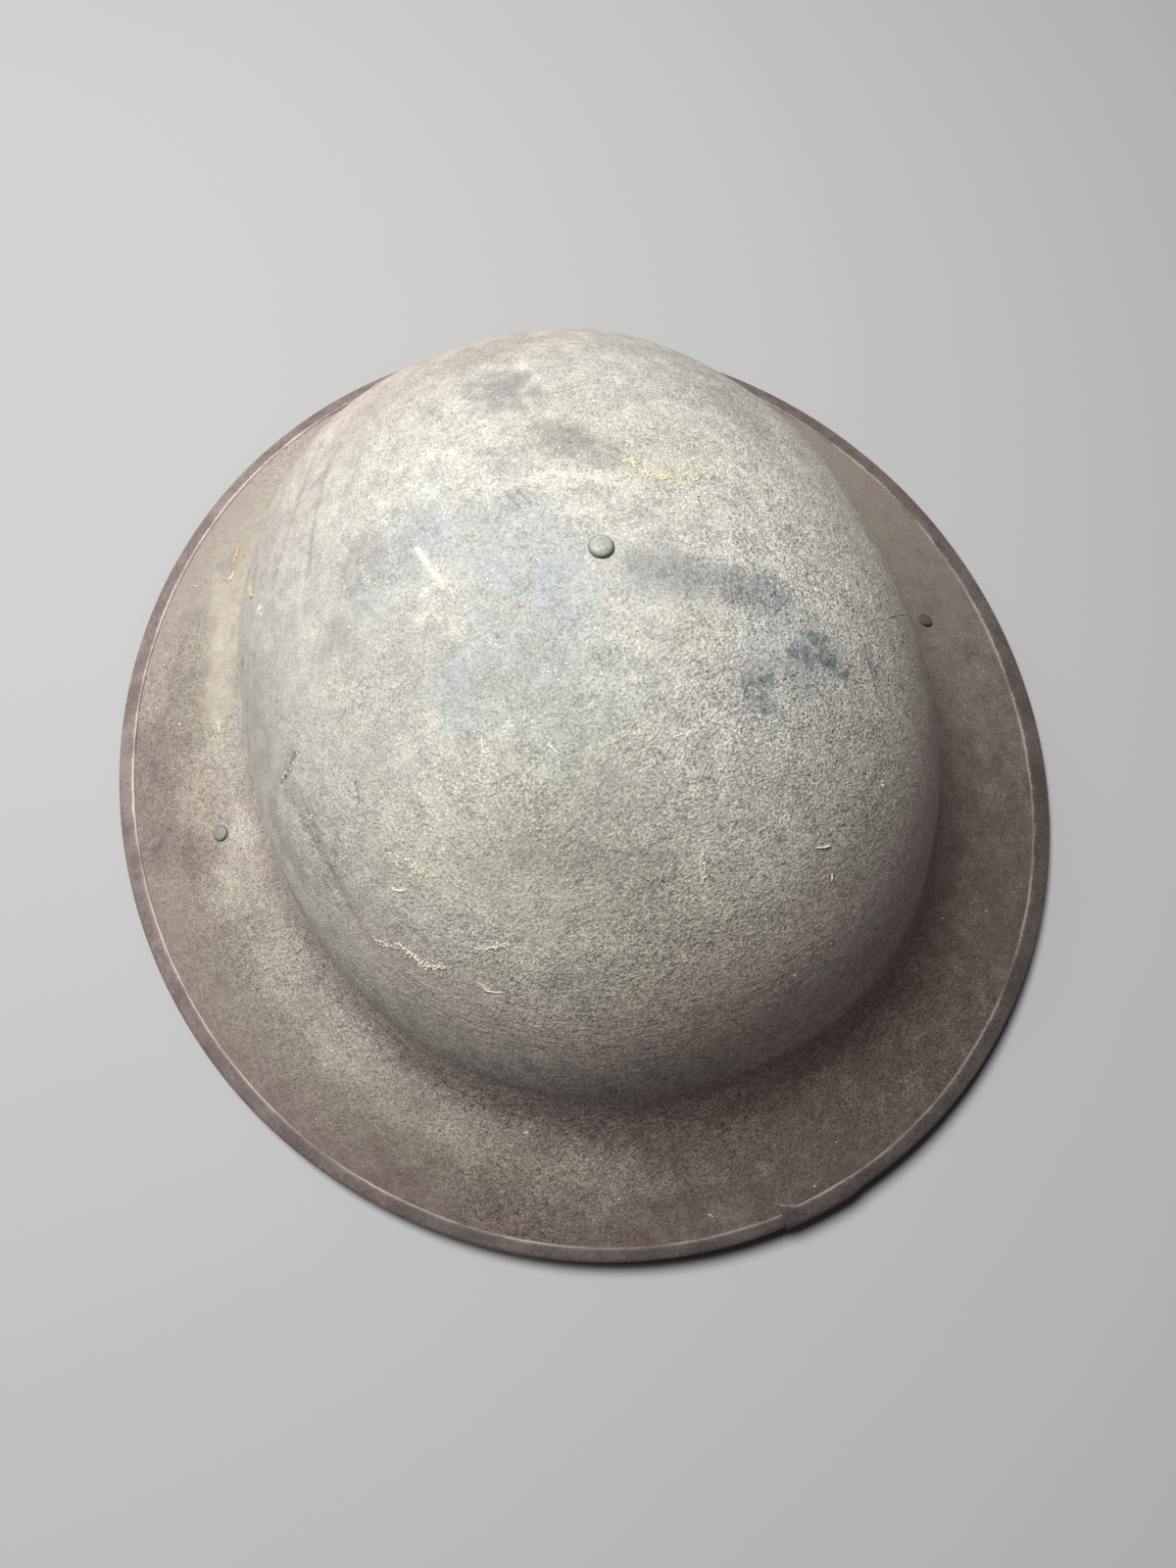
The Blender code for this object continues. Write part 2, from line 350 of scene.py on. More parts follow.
@dataclass(frozen=True)
class Mark:
    """A mark on the outer face: a spot, or a line of several points, in millimetres, with a soft ragged edge.

    A strength below 0 takes the tone away instead.
    """

    line: tuple[Point, ...]
    radius: float
    strength: float = 1.0
    ragged: float = 0.4
    grain: float = 6.0
    softness: float = 1.1


MARKS = (
    # Purple-grey and olive-grey stains, from the crown down, and two faint ones on the far side.
    (Tone.STAIN, (
        Mark(((-3.9, 52.2, 87.7),), 8.5, 0.95, 0.8, 4),
        Mark(((1, 32, 93.2), (6, 27.4, 94.6), (12, 20.6, 95.2)), 4.6, 0.34, 0.9, 4, 0.8),
        Mark(((-11.1, 26.7, 94.3),), 5.5, 0.40, 0.7, 4),
        Mark(((9.5, -11.6, 96.3), (18.8, -16.5, 94.7), (28.1, -20.5, 92.4)), 4.8, 0.55, 1.0, 3),
        Mark(((29.4, -22.4, 91.6), (38, -25.2, 88.2)), 3.9, 0.60, 0.6, 3, 0.35),
        Mark(((51, 39, 78.8), (55.5, 26, 79.5)), 5.5, 0.50, 0.8, 3),
        Mark(((-49.6, 17.8, 84),), 7.5, 0.70, 0.9, 4),
        Mark(((-59.6, 3.8, 78.6),), 5, 0.55, 0.8, 4),
        Mark(((42.5, -40.5, 83.1),), 5.5, 0.20, 1.0, 2),
        Mark(((24.9, -46.2, 87.3), (17, -40, 90.5)), 5.5, 0.34, 1.0, 2),
        Mark(((-33.4, -89, 57.9),), 7.5, 0.24, 0.6, 5),
        Mark(((-10, -55, 86.5), (14, -62, 82.5)), 12, 0.22, 0.7, 8),
        Mark(((30, 112, 30),), 16, 0.40, 0.8, 9),
        Mark(((-92.2, 90, -6.8),), 3.5, 0.70, 0.5, 2),
        Mark(((-89.6, 28.8, 35.5),), 1.6, 0.90, 0.4, 1.5),
    )),
    # Bluish worn paint.
    (Tone.BLUE, (
        Mark(((10, -13, 96.2), (24, -20, 93.4)), 6.0, 0.60, 1.0, 3),
        Mark(((29.4, -22.4, 91.6), (38, -25.4, 88.2)), 4.6, 0.64, 0.6, 3, 0.6),
        Mark(((-34, 14, 91), (-14, 2, 95.8)), 10, 0.76, 0.8, 6),
        Mark(((-14, 2, 95.8), (-8, -14, 96.2)), 9, 0.66, 0.8, 6),
        Mark(((-20.8, -18, 94.3), (-11.3, -35.4, 92.5)), 12, 0.48, 0.8, 7),
        Mark(((-36.5, -24.5, 89.1),), 9, 0.68, 0.8, 5),
        Mark(((-21.5, -41.8, 89.4),), 9, 0.34, 0.8, 5),
        Mark(((-50, 9, 84.5),), 7, 0.50, 0.8, 5),
        Mark(((42.5, -40.5, 83.1),), 7, 0.60, 0.9, 3),
        Mark(((24.9, -46.2, 87.3), (33, -34, 88)), 8, 0.45, 0.9, 3),
        Mark(((-40, 106, 22), (-10, 116, 12)), 13, 0.40, 0.8, 8),
    )),
    # Brown soiling; below 0, paint worn clean on the brim: a wedge at the left and a band.
    (Tone.BROWN, (
        Mark(((-92, 84, -3.4), (-98, 62, -3.4)), 8.0, -0.26, 0.15, 8, 0.3),
        Mark(((-98, 62, -3.4), (-103.5, 44, -4)), 5.4, -0.30, 0.15, 8, 0.3),
        Mark(((-103.5, 44, -4), (-106.9, 34.5, -4.5)), 2.6, -0.42, 0.2, 4, 0.5),
        Mark(((-107.5, -2.5, -4.2),), 6.0, -0.45, 0.6, 4),
        Mark(((-111, -12, -5), (-105, -45, -4.4), (-91, -79, -3.5), (-70, -105, -3), (-37, -130, -4)),
             8, -0.16, 0.6, 8),
        Mark(((-30, 84, 62), (30, 84, 62)), 26, 0.22, 0.4, 10),
        Mark(((-58, -118, -4), (42, -135, -7)), 13, 0.12, 0.7, 8),
        Mark(((-129.2, 0.3, -12.3),), 9, 0.25, 0.6, 8),
        Mark(((-119.2, -32.7, -9.3),), 12, 0.22, 0.7, 6),
    )),
    # Creamy scrapes and dried drips.
    (Tone.CREAM, (
        Mark(((-5.8, 19.6, 95.7), (3.9, 16.1, 96.2)), 2.0, 0.58, 0.9, 3),
        Mark(((3.9, 16.1, 96.2), (11, 12.6, 96.1)), 1.4, 0.50, 0.9, 3),
        Mark(((8.4, 14.6, 96.1), (16.8, 7.5, 95.7)), 1.8, 0.34, 1.0, 3),
        Mark(((-37.4, 12.5, 90.1), (-34.4, 0.4, 91.6)), 1.9, 0.45, 0.9, 2),
        Mark(((-2, 10, 96.5),), 11, 0.25, 0.8, 5),
        Mark(((-28, 32, 89),), 12, 0.25, 0.8, 5),
        Mark(((-63.7, -12.5, 75.2),), 8, 0.30, 0.9, 4),
    )),
    # Yellowed dust.
    (Tone.OCHRE, (
        Mark(((26, 18, 92.5),), 12, 0.30, 0.8, 6),
        Mark(((22.8, 10.3, 94.5),), 4, 0.50, 0.9, 2),
        Mark(((20, -30, 92),), 11, 0.35, 0.8, 6),
        Mark(((-5, 40, 91),), 10, 0.30, 0.8, 6),
        Mark(((-24.8, 21.7, 93),), 3, 0.45, 0.8, 2),
        Mark(((-107.5, 34.5, -4.7),), 5, 0.50, 0.6, 3),
        Mark(((-63.6, -51.5, 64.8),), 8, 0.40, 0.9, 3),
    )),
    # Rust.
    (Tone.RUST, (
        Mark(((-96.5, 101.8, -11.6),), 1.6, 0.80, 0.8, 1.5),
        Mark(((-81.1, 42, 48.1),), 2.0, 0.50, 0.8, 1.5),
        Mark(((-87.4, 95.5, -6.1), (-90, 90, -6.2)), 1.6, 0.70, 0.8, 1.5),
    )),
    # Grit, coarsest at the right and the near side, light on the far side and gone from the wedge.
    (Tone.GRIT, (
        Mark(((50, -45, 75),), 42, 0.88, 0.3, 20),
        Mark(((0, -100, 45),), 60, 0.72, 0.3, 20),
        Mark(((-70, -50, 55),), 40, 0.45, 0.3, 20),
        Mark(((70, 10, 60),), 50, 0.50, 0.3, 20),
        Mark(((0, 20, 95),), 60, 0.30, 0.3, 20),
        Mark(((-118, 50, -10), (-112, -30, -7)), 26, 0.55, 0.3, 20),
        Mark(((-72, 80, 22), (0, 114, 22), (72, 80, 22)), 32, 0.50, 0.3, 20),
        Mark(((-55, 132, -9), (0, 144, -10), (55, 132, -9)), 20, 0.50, 0.3, 20),
        Mark(((-100, -62, -5), (-55, -118, -5), (60, -122, -5)), 26, 0.54, 0.3, 20),
        Mark(((60, -122, -5), (125, -30, -8)), 26, 0.35, 0.3, 20),
        Mark(((-88, -60, 10), (-55, -100, 10), (0, -116, 12), (60, -92, 14)), 16, 0.80, 0.3, 20),
        Mark(((-94, 80, -3.4), (-104, 42, -4)), 7.0, -0.85, 0.15, 8, 0.5),
        Mark(((-84, 100, -4), (-94, 80, -3.4)), 11.0, -0.70, 0.3, 8, 0.8),
    )),
    # Ripples in the paint of the near side.
    (Tone.RIPPLE, (
        Mark(((-45, -102, 30), (35, -104, 34)), 20, 0.9, 0.3, 12),
        Mark(((-72, -78, 28), (-45, -102, 22)), 18, 0.7, 0.3, 12),
        Mark(((35, -104, 28), (70, -75, 36)), 18, 0.6, 0.3, 12),
        Mark(((-60, -95, 12), (50, -100, 14)), 16, 0.9, 0.3, 12),
    )),
    # Dust on the shoulders and beside the rivets; three marks below are partly painted light.
    (Tone.DUST, (
        # Partly painted reflected light: the right flank lighter.
        Mark(((68, 32, 62), (84, -4, 48)), 24, 0.75, 0.5, 10),
        Mark(((-82, 60, 38), (-92, 34, 28)), 14, 0.50, 0.5, 10),
        Mark(((38, 10, 90),), 22, 0.45, 0.5, 10),
        Mark(((52, -14, 82),), 24, 0.60, 0.5, 10),
        Mark(((22, -48, 88),), 18, 0.30, 0.5, 10),
        Mark(((-6, -44, 91),), 26, 0.34, 0.5, 10),
        Mark(((28, -56, 82),), 26, 0.34, 0.5, 10),
        Mark(((-82, 64, 26), (-94, 32, 22), (-96, -10, 22), (-88, -48, 20)), 19, 0.55, 0.4, 10),
        Mark(((-45, 45, 80),), 22, 0.35, 0.5, 10),
        # Partly painted light: the far top lighter and warmer.
        Mark(((-40, 74, 66), (28, 78, 68)), 25, 0.72, 0.4, 10),
        # Painted light: a lighter spot on the near side.
        Mark(((-40, -86, 57),), 18, 0.50, 0.6, 6),
        Mark(((-3.9, -27.9, 94.5),), 8, 0.60, 0.8, 5),
        Mark(((-93.8, -69.4, -2.9),), 10, 0.36, 0.6, 6),
        Mark(((-118, -18, -7.5),), 8, 0.30, 0.7, 6),
    )),
    # A purple cast, partly painted reddish reflected light, most on the far top and the left brim.
    (Tone.PLUM, (
        Mark(((-92, 84, -3.4), (-104, 44, -4)), 7.0, 0.12, 0.15, 8, 0.5),
        Mark(((-82, 64, 30), (-94, 32, 26), (-96, -10, 26), (-88, -48, 22)), 22, 0.06, 0.4, 10),
        Mark(((-62, 62, 60), (0, 88, 62)), 28, 0.24, 0.4, 10),
        Mark(((-122, 37, -12), (-122, -6, -11)), 9, 0.22, 0.7, 6),
    )),
    # An olive cast.
    (Tone.OLIVE, (
        Mark(((-92, 84, -3.4), (-105, 40, -4)), 8.0, 0.30, 0.15, 8, 0.5),
        Mark(((6, 34, 93), (16, 28, 93)), 10, 0.30, 0.9, 7),
        Mark(((-30, -60, 82), (-10, -92, 62)), 30, 0.38, 0.7, 12),
    )),
    # Darker ground: the brim beside the wedge, smudges, and the edges of stains, and painted shade on the
    # right flank, in a crease and in the foot's corner.
    (Tone.SHADE, (
        Mark(((-107, 72, -8), (-114, 52, -9.5), (-117, 36, -10)), 8.0, 0.40, 0.4, 6, 0.40),
        Mark(((-122, 37, -12), (-124, 28, -12.5)), 7, 0.46, 0.7, 5, 0.7),
        Mark(((-122, -6, -11),), 7.5, 0.44, 0.7, 5, 0.8),
        Mark(((-131.2, 39.4, -14.6), (-134, 9.2, -14.3)), 8.5, 0.56, 0.7, 6, 0.8),
        Mark(((-18, -68, 79),), 18, 0.25, 0.8, 9),
        # Painted shade on the right flank.
        Mark(((41, -68, 71),), 20, 0.34, 0.8, 9),
        Mark(((-46, -60, 73), (-34, -63, 77), (-22, -68, 78), (-11, -75, 75)), 5.0, 0.36, 0.9, 5),
        Mark(((-52.5, -16.3, 82.6), (-63.2, -20.7, 74.7)), 11, 0.30, 0.8, 7),
        Mark(((-60.5, -1.5, 78),), 8, 0.24, 0.8, 6),
        Mark(((-23.8, -58.6, 82.6),), 15, 0.16, 0.8, 9),
        Mark(((-33, -89, 58),), 7, 0.10, 0.7, 5),
        Mark(((-40.5, -17, 88.4), (-35, -28, 89)), 8, 0.26, 0.8, 5),
        Mark(((-26, -16, 93), (-20, -30, 92)), 8, 0.24, 0.8, 6),
        Mark(((44, -41, 82),), 7.0, 0.20, 1.0, 3),
        Mark(((22, -48, 87),), 8.0, 0.14, 1.0, 3),
        Mark(((25, 36, 90), (32, 22, 91)), 8, 0.10, 0.9, 6),
        Mark(((-3.9, 52.2, 87.7),), 8.5, 0.20, 0.8, 4),
        Mark(((0, 32, 93.2), (6, 27.4, 94.6), (12, 20.6, 95.2)), 5.4, 0.40, 1.0, 4, 0.8),
        Mark(((-44, 60, 76), (-6, 74, 74), (40, 62, 76)), 12, 0.24, 1.2, 5, 1.0),
        Mark(((50, 48, 72), (58, 32, 74)), 7, 0.24, 1.1, 4),
        Mark(((29.4, -22.4, 91.6), (38, -25.2, 88.2)), 4.2, 0.72, 0.6, 3, 0.4),
        Mark(((34.7, -47.5, 83.9),), 5, 0.30, 1.0, 3),
        # Painted shadow in the lower crease.
        Mark(((-80.5, -49, 44), (-83, -41, 45.5)), 4.5, 0.30, 0.6, 4),
        # Painted shade in the corner at the foot of the near side.
        Mark(((-38, -115, 3), (-24, -120, 2)), 6, 0.16, 0.6, 6),
        Mark(((-100.6, -41, -1.8),), 7, 0.12, 0.7, 6),
    )),
    # Chipped paint: clusters at the right, single chips round them, and the gouge.
    (Tone.CHIP, (
        Mark(((38.9, -40, 84.7), (42, -40.9, 83.1)), 2.2, 0.95, 0.8, 2),
        Mark(((44.1, -36.4, 83.4), (46.7, -38.9, 81.5)), 1.8, 0.85, 0.8, 2),
        Mark(((45.4, -40.7, 81.7), (49.5, -44.9, 77.7)), 1.8, 0.92, 0.8, 2),
        Mark(((24.8, -43.7, 88), (28.5, -44, 87.2)), 1.9, 0.80, 0.9, 2),
        Mark(((24, -48.4, 87), (26.5, -50, 86)), 2.0, 0.70, 0.9, 2),
        Mark(((59.2, -38, 73.3), (58.5, -49.9, 68.8)), 1.8, 0.72, 0.9, 3),
        Mark(((12, -13, 96), (24, -19, 93.4)), 5.0, 0.30, 1.0, 4),
        Mark(((42, -42, 82),), 18, 0.24, 1.0, 6),
        Mark(((-80.6, -13.5, 57.1), (-86.7, -15.6, 47.1)), 1.6, 0.40, 0.8, 3),
    )),
)


@dataclass(frozen=True)
class Scratch:
    """A line finer than the mesh, in millimetres: sunk by depth, dark where grime_and_shade is above 0, as
    grime and, in the creases, as painted shade, else pale.

    Lines less than 8 mm apart go into different layers.
    """

    line: tuple[Point, ...]
    width: float
    depth: float
    grime_and_shade: float
    layer: int = 0


SCRATCHES = (
    # The gouge and a cut at the left, and a small hole.
    Scratch(((-80.6, -13.5, 57.1), (-83.5, -15.6, 52.5), (-86.7, -15.6, 47.1)), 1.6, 0.45, 0.42),
    Scratch(((-67.4, -30.5, 69.1), (-67.9, -35.5, 67.1)), 0.8, 0.30, 0.50),
    Scratch(((-90.1, 30.2, 33.4), (-90.3, 29.2, 32.4)), 1.1, 0.60, 0.80),
    # Soft bottoms of the creases, darkened as painted shade in the valleys.
    Scratch(((-84.2, -28.4, 47.6), (-82.8, -34.2, 47.5), (-81.3, -41.9, 46.1), (-80.5, -46.4, 45)),
            4.4, 0.32, 0.15),
    Scratch(((-52, 71.1, 62), (-63.1, 51.1, 64.9), (-69.2, 41.2, 63.6), (-74.6, 32.5, 60.6)),
            3.2, 0.30, 0.12),
    Scratch(((-47.2, 62.1, 71.1), (-55.2, 49.9, 71.4), (-60.8, 37.2, 72.1), (-64.9, 25.3, 71.6)),
            3.2, 0.25, 0.12, layer=1),
    # Strokes, a chipped line and a crack.
    Scratch(((-13.7, 17.9, 95.4), (-12.1, 11.8, 96)), 1.1, 0.10, 0.50),
    Scratch(((-11.3, 17.9, 95.6), (-9.1, 11.4, 96.3)), 1.1, 0.10, 0.50, layer=1),
    Scratch(((58.4, -40.8, 72.9), (58.2, -45, 71.4), (57.6, -49.5, 69.4)), 1.0, 0.20, 0.55),
    Scratch(((71.6, -29, 64.9), (76, -27, 60), (81.2, -24.7, 54.5)), 0.6, 0.22, 0.35),
    # Arcs of dried crust.
    Scratch(((-74.8, -61.5, 44.5), (-70.7, -65.9, 47.1), (-68.9, -66.7, 48.9)), 1.1, -0.22, -0.10),
    Scratch(((-69, -66, 49), (-67.3, -69.5, 48.6), (-64.5, -73.2, 48.6), (-60.8, -75.4, 50.8)),
            1.3, -0.30, -0.15, layer=1),
    Scratch(((-52.9, -75.6, 58.1), (-47.9, -77.0, 60.7), (-43.9, -78.0, 62.4)), 1.1, -0.22, -0.08),
    # Pale scrapes and a dried drip.
    Scratch(((-5.7, 19.8, 95.7), (-1, 18.2, 96.1), (2.8, 16.8, 96.2), (7.4, 14, 96.2),
            (11.7, 10.6, 96.1)), 1.2, -0.12, -0.28, layer=2),
    Scratch(((-37.4, 12.5, 90.1), (-36.4, 6.5, 91), (-34.4, 0.4, 91.6)), 1.8, -0.15, -0.62),
    Scratch(((2.6, -74.7, 76.2), (1.2, -77.4, 74.6), (0.7, -80.7, 71.9)), 1.0, -0.20, -0.50),
    Scratch(((-106.7, 34.8, -4.5), (-107.1, 31.6, -4.5)), 1.2, -0.10, -0.60),
)
SCRATCH_LAYERS = range(3)


@dataclass(frozen=True)
class Ridge:
    """A low ridge of lifted paint or dried crust along a line, in millimetres."""

    line: tuple[Point, ...]
    width: float
    height: float


RIDGES = (
    Ridge(((-74.8, -61.5, 44.5), (-70.7, -65.9, 47.1), (-68.9, -66.7, 48.9)), 1.0, 0.18),
    Ridge(((-68.9, -66.7, 48.9), (-67.3, -69.5, 48.6), (-64.5, -73.2, 48.6), (-60.8, -74.9, 51.2)),
          1.0, 0.24),
    Ridge(((-52.9, -75.6, 58.1), (-47.9, -77.0, 60.7), (-43.9, -78.0, 62.4)), 1.0, 0.18),
    Ridge(((-46.6, -80.7, 58.3), (-47.1, -83.1, 55.7)), 0.8, 0.25),
    Ridge(((-54.3, -83.3, 49.2), (-49.3, -83.7, 53.2)), 0.8, 0.25),
    Ridge(((-63.7, -50.4, 65.3), (-59.2, -55.8, 66.4)), 1.0, 0.25),
    Ridge(((-80.6, -13.5, 57.1), (-86.7, -15.6, 47.1)), 1.6, -0.40),
    Ridge(((-85, -24.8, 47.6), (-82.8, -34.2, 47.5), (-81.3, -41.9, 46.1), (-80.5, -46.4, 45)), 2.4, -0.22),
)


@dataclass(frozen=True)
class Trail:
    """A line on the outer face along which crumbs or threads lie, or a single straw, in millimetres.

    They stray from it by up to stray. Size is a crumb's or a straw's thickness, and scales a thread.
    Tint runs from 0, white, over 0.5, straw, to 1, rust.
    """

    line: tuple[Point, ...]
    stray: float
    size: float
    tint: float


CRUST_CRUMBS = (
    # Two arcs of dried crust at the lower left.
    Trail(((-74.8, -61.5, 44.5), (-70.7, -65.9, 47.1)), 0.5, 0.36, 0.20),
    Trail(((-69.4, -65.8, 49), (-67.3, -69.5, 48.6), (-64.8, -73, 48.4), (-60.8, -75.5, 50.6)),
          0.5, 0.50, 0.22),
    Trail(((-69.4, -65.8, 49), (-67.3, -69.5, 48.6), (-64.8, -73, 48.4), (-60.8, -75.5, 50.6)),
          1.1, 0.34, 0.12),
    Trail(((-67.3, -69.5, 48.6), (-64.8, -73, 48.4)), 0.9, 0.56, 0.24),
    Trail(((-74.8, -61.5, 44.5), (-70.7, -65.9, 47.1)), 1.0, 0.30, 0.25),
    Trail(((-52.9, -75.6, 58.1), (-48, -77, 60.6), (-44, -78.2, 62.3)), 0.9, 0.40, 0.25),
    Trail(((-52.9, -75.6, 58.1), (-44, -78.2, 62.3)), 1.2, 0.30, 0.15),
    # Flakes above them, and the edge of the gouge.
    Trail(((-65, -49, 65.3), (-61, -54, 66.2), (-57.3, -57.7, 67)), 1.8, 0.42, 0.30),
    Trail(((-57.3, -57.7, 67), (-61, -54, 66.2)), 1.2, 0.50, 0.35),
    Trail(((-66.6, -55.4, 59.7), (-63.9, -57.4, 61.4)), 0.3, 0.35, 0.20),
    Trail(((-53.7, -81.8, 51.3), (-52, -84.3, 50.5), (-49.9, -85.2, 51)), 0.3, 0.32, 0.40),
    Trail(((-82.3, -14, 54.5), (-87, -16, 46.5)), 1.0, 0.36, 0.20),
    Trail(((-77.5, -42.6, 54), (-75, -42.6, 56.5)), 0.7, 0.38, 0.10),
    Trail(((-81.1, -28.9, 53.4), (-81.1, -28.9, 52)), 0.3, 0.36, 0.15),
    # White dots and rusty lumps at the left.
    Trail(((-80, 32.5, 53), (-79, 29.5, 56)), 1.5, 0.40, 0.05),
    Trail(((-81.1, 44.2, 47.6), (-81.4, 41, 48.2), (-81.1, 38.8, 49.6)), 0.6, 0.55, 0.80),
    Trail(((-97, 103, -12), (-95.5, 99.5, -11.4)), 1.2, 0.40, 0.88),
    Trail(((-87.4, 96.5, -6.1), (-88, 93, -5.9), (-90, 90.5, -6.2)), 0.7, 0.60, 0.70),
    Trail(((-93.5, 83, -6), (-89.9, 86, -5.5)), 0.5, 0.40, 0.70),
    # White grains near the crown.
    Trail(((23, 45, 88), (27, 44, 87.6)), 2.0, 0.34, 0.05),
    Trail(((-6.5, 49.5, 88.6), (-4.5, 49.5, 88.6)), 1.5, 0.30, 0.05),
    Trail(((-46, 26, 85), (-43, 23, 86.8)), 2.6, 0.32, 0.05),
    Trail(((-51, 17, 83.6), (-50, 9, 84.5)), 2.2, 0.30, 0.05),
    Trail(((-37.2, 11.7, 90.3), (-34.4, 0.4, 91.6)), 0.9, 0.30, 0.10),
    Trail(((-7.1, 16.1, 96), (0.3, 16.4, 96.2), (8.5, 15.3, 96), (14.4, 11.1, 95.8)), 1.0, 0.26, 0.12),
    Trail(((-23, -32, 91.6), (-20, -38, 91)), 7.0, 0.26, 0.04),
    Trail(((-119.4, 41.1, -10), (-119.2, 40.6, -10)), 0.1, 0.46, 0.10),
    Trail(((-125.8, 50.7, -13.5), (-125.6, 50.2, -13.5)), 0.1, 0.34, 0.10),
    # Yellow flakes right of the crown.
    Trail(((16, 17, 95), (19, 14.5, 95)), 1.4, 0.46, 0.42),
    Trail(((21, 11, 94.6), (26, 9.5, 93.8), (30, 8.5, 93)), 1.8, 0.44, 0.38),
    Trail(((28, 13, 92.6), (34, 13.5, 91.2)), 1.8, 0.36, 0.35),
    Trail(((2.4, -49, 88.8), (4.6, -61, 84)), 2.4, 0.28, 0.03),
    # A pale streak and single dots on the near side.
    Trail(((2.6, -74.7, 76.2), (0.7, -80.7, 71.9)), 0.6, 0.34, 0.12),
    Trail(((32.1, -87.1, 60.4), (32.4, -86, 61.3)), 0.1, 0.42, 0.15),
    Trail(((18.9, -103.3, 45), (18.5, -103, 46)), 0.1, 0.42, 0.20),
    Trail(((52.5, -69.9, 63), (52.5, -68.5, 63.8)), 0.3, 0.45, 0.30),
    # White dots on the near brim.
    Trail(((-54.6, -112.2, -0.8), (-54.1, -112.5, -0.8)), 0.1, 0.42, 0.06),
    Trail(((-59.2, -114.1, -2.7), (-58.8, -114.4, -2.7)), 0.1, 0.34, 0.10),
    Trail(((-36.1, -136.1, -6.6), (-35.7, -136.2, -6.6)), 0.1, 0.36, 0.06),
    Trail(((-14.4, -147.4, -9.4), (-13.6, -148.4, -9.4)), 0.1, 0.34, 0.20),
    Trail(((52, -143.1, -12.2), (52.4, -142.9, -12.2)), 0.1, 0.36, 0.10),
)
DRIED_THREADS = (
    Trail(((16, 17, 95), (21, 13, 94.9)), 1.6, 1.00, 0.42),
    Trail(((21, 11, 94.6), (30, 9, 93), (35, 13.5, 91)), 2.6, 1.00, 0.40),
    Trail(((15, 17, 95), (24, 9, 94.2), (31, 6, 92.6)), 2.2, 1.10, 0.34),
    Trail(((22, 12, 94.2), (33, 12, 91.6)), 3.6, 0.80, 0.32),
    Trail(((-73, -62, 45.4), (-70, -65.9, 48.5), (-65, -72.5, 48.6), (-61, -75, 50.5)), 1.7, 0.70, 0.25),
    Trail(((-64.5, -50, 65.3), (-58, -57, 67)), 2.2, 0.85, 0.35),
    Trail(((-79.4, -36.2, 54), (-76.8, -37, 56)), 1.0, 0.70, 0.20),
    Trail(((-54.5, -75, 57.4), (-44, -78.2, 62.3)), 1.9, 0.62, 0.28),
    Trail(((-53, -83, 51.4), (-49, -84.5, 51.6)), 1.6, 0.75, 0.40),
    # Short fibres scattered over the right of the crown and the near side.
    Trail(((18, 30, 92.5), (40, 24, 87.5), (62, 8, 76.5)), 11.0, 0.42, 0.12),
    Trail(((21, 16, 94.4), (27, 5.6, 93.6), (32.7, -6.6, 92)), 7.0, 0.72, 0.30),
    Trail(((27, 5.6, 93.6), (36, 14, 90.6), (50, 2, 84)), 8.0, 0.66, 0.26),
    Trail(((18.8, -9.9, 95.3), (37.4, -20.6, 89.3), (48.6, -7.3, 85.4)), 9.0, 0.55, 0.18),
    Trail(((20, -55, 85), (44, -50, 78), (56, -58, 67)), 9.0, 0.50, 0.14),
    Trail(((28, -6, 93.5), (52, -14, 82), (66, -20, 68)), 10.0, 0.42, 0.10),
    Trail(((-4, -56, 86), (16, -62, 82), (40, -60, 74)), 10.0, 0.40, 0.10),
    Trail(((1.9, -48, 89), (3.6, -59.4, 84.7), (6.8, -65.4, 81.6)), 5.0, 0.62, 0.04),
    Trail(((1.9, -50.5, 88.4), (6.8, -65.4, 81.6)), 3.0, 0.50, 0.02),
    Trail(((-40, -78, 64), (-10, -92, 60), (30, -84, 63)), 9.0, 0.40, 0.15),
    Trail(((-42, 40, 84), (-30, 18, 91), (-40, -14, 89)), 9.0, 0.40, 0.08),
)
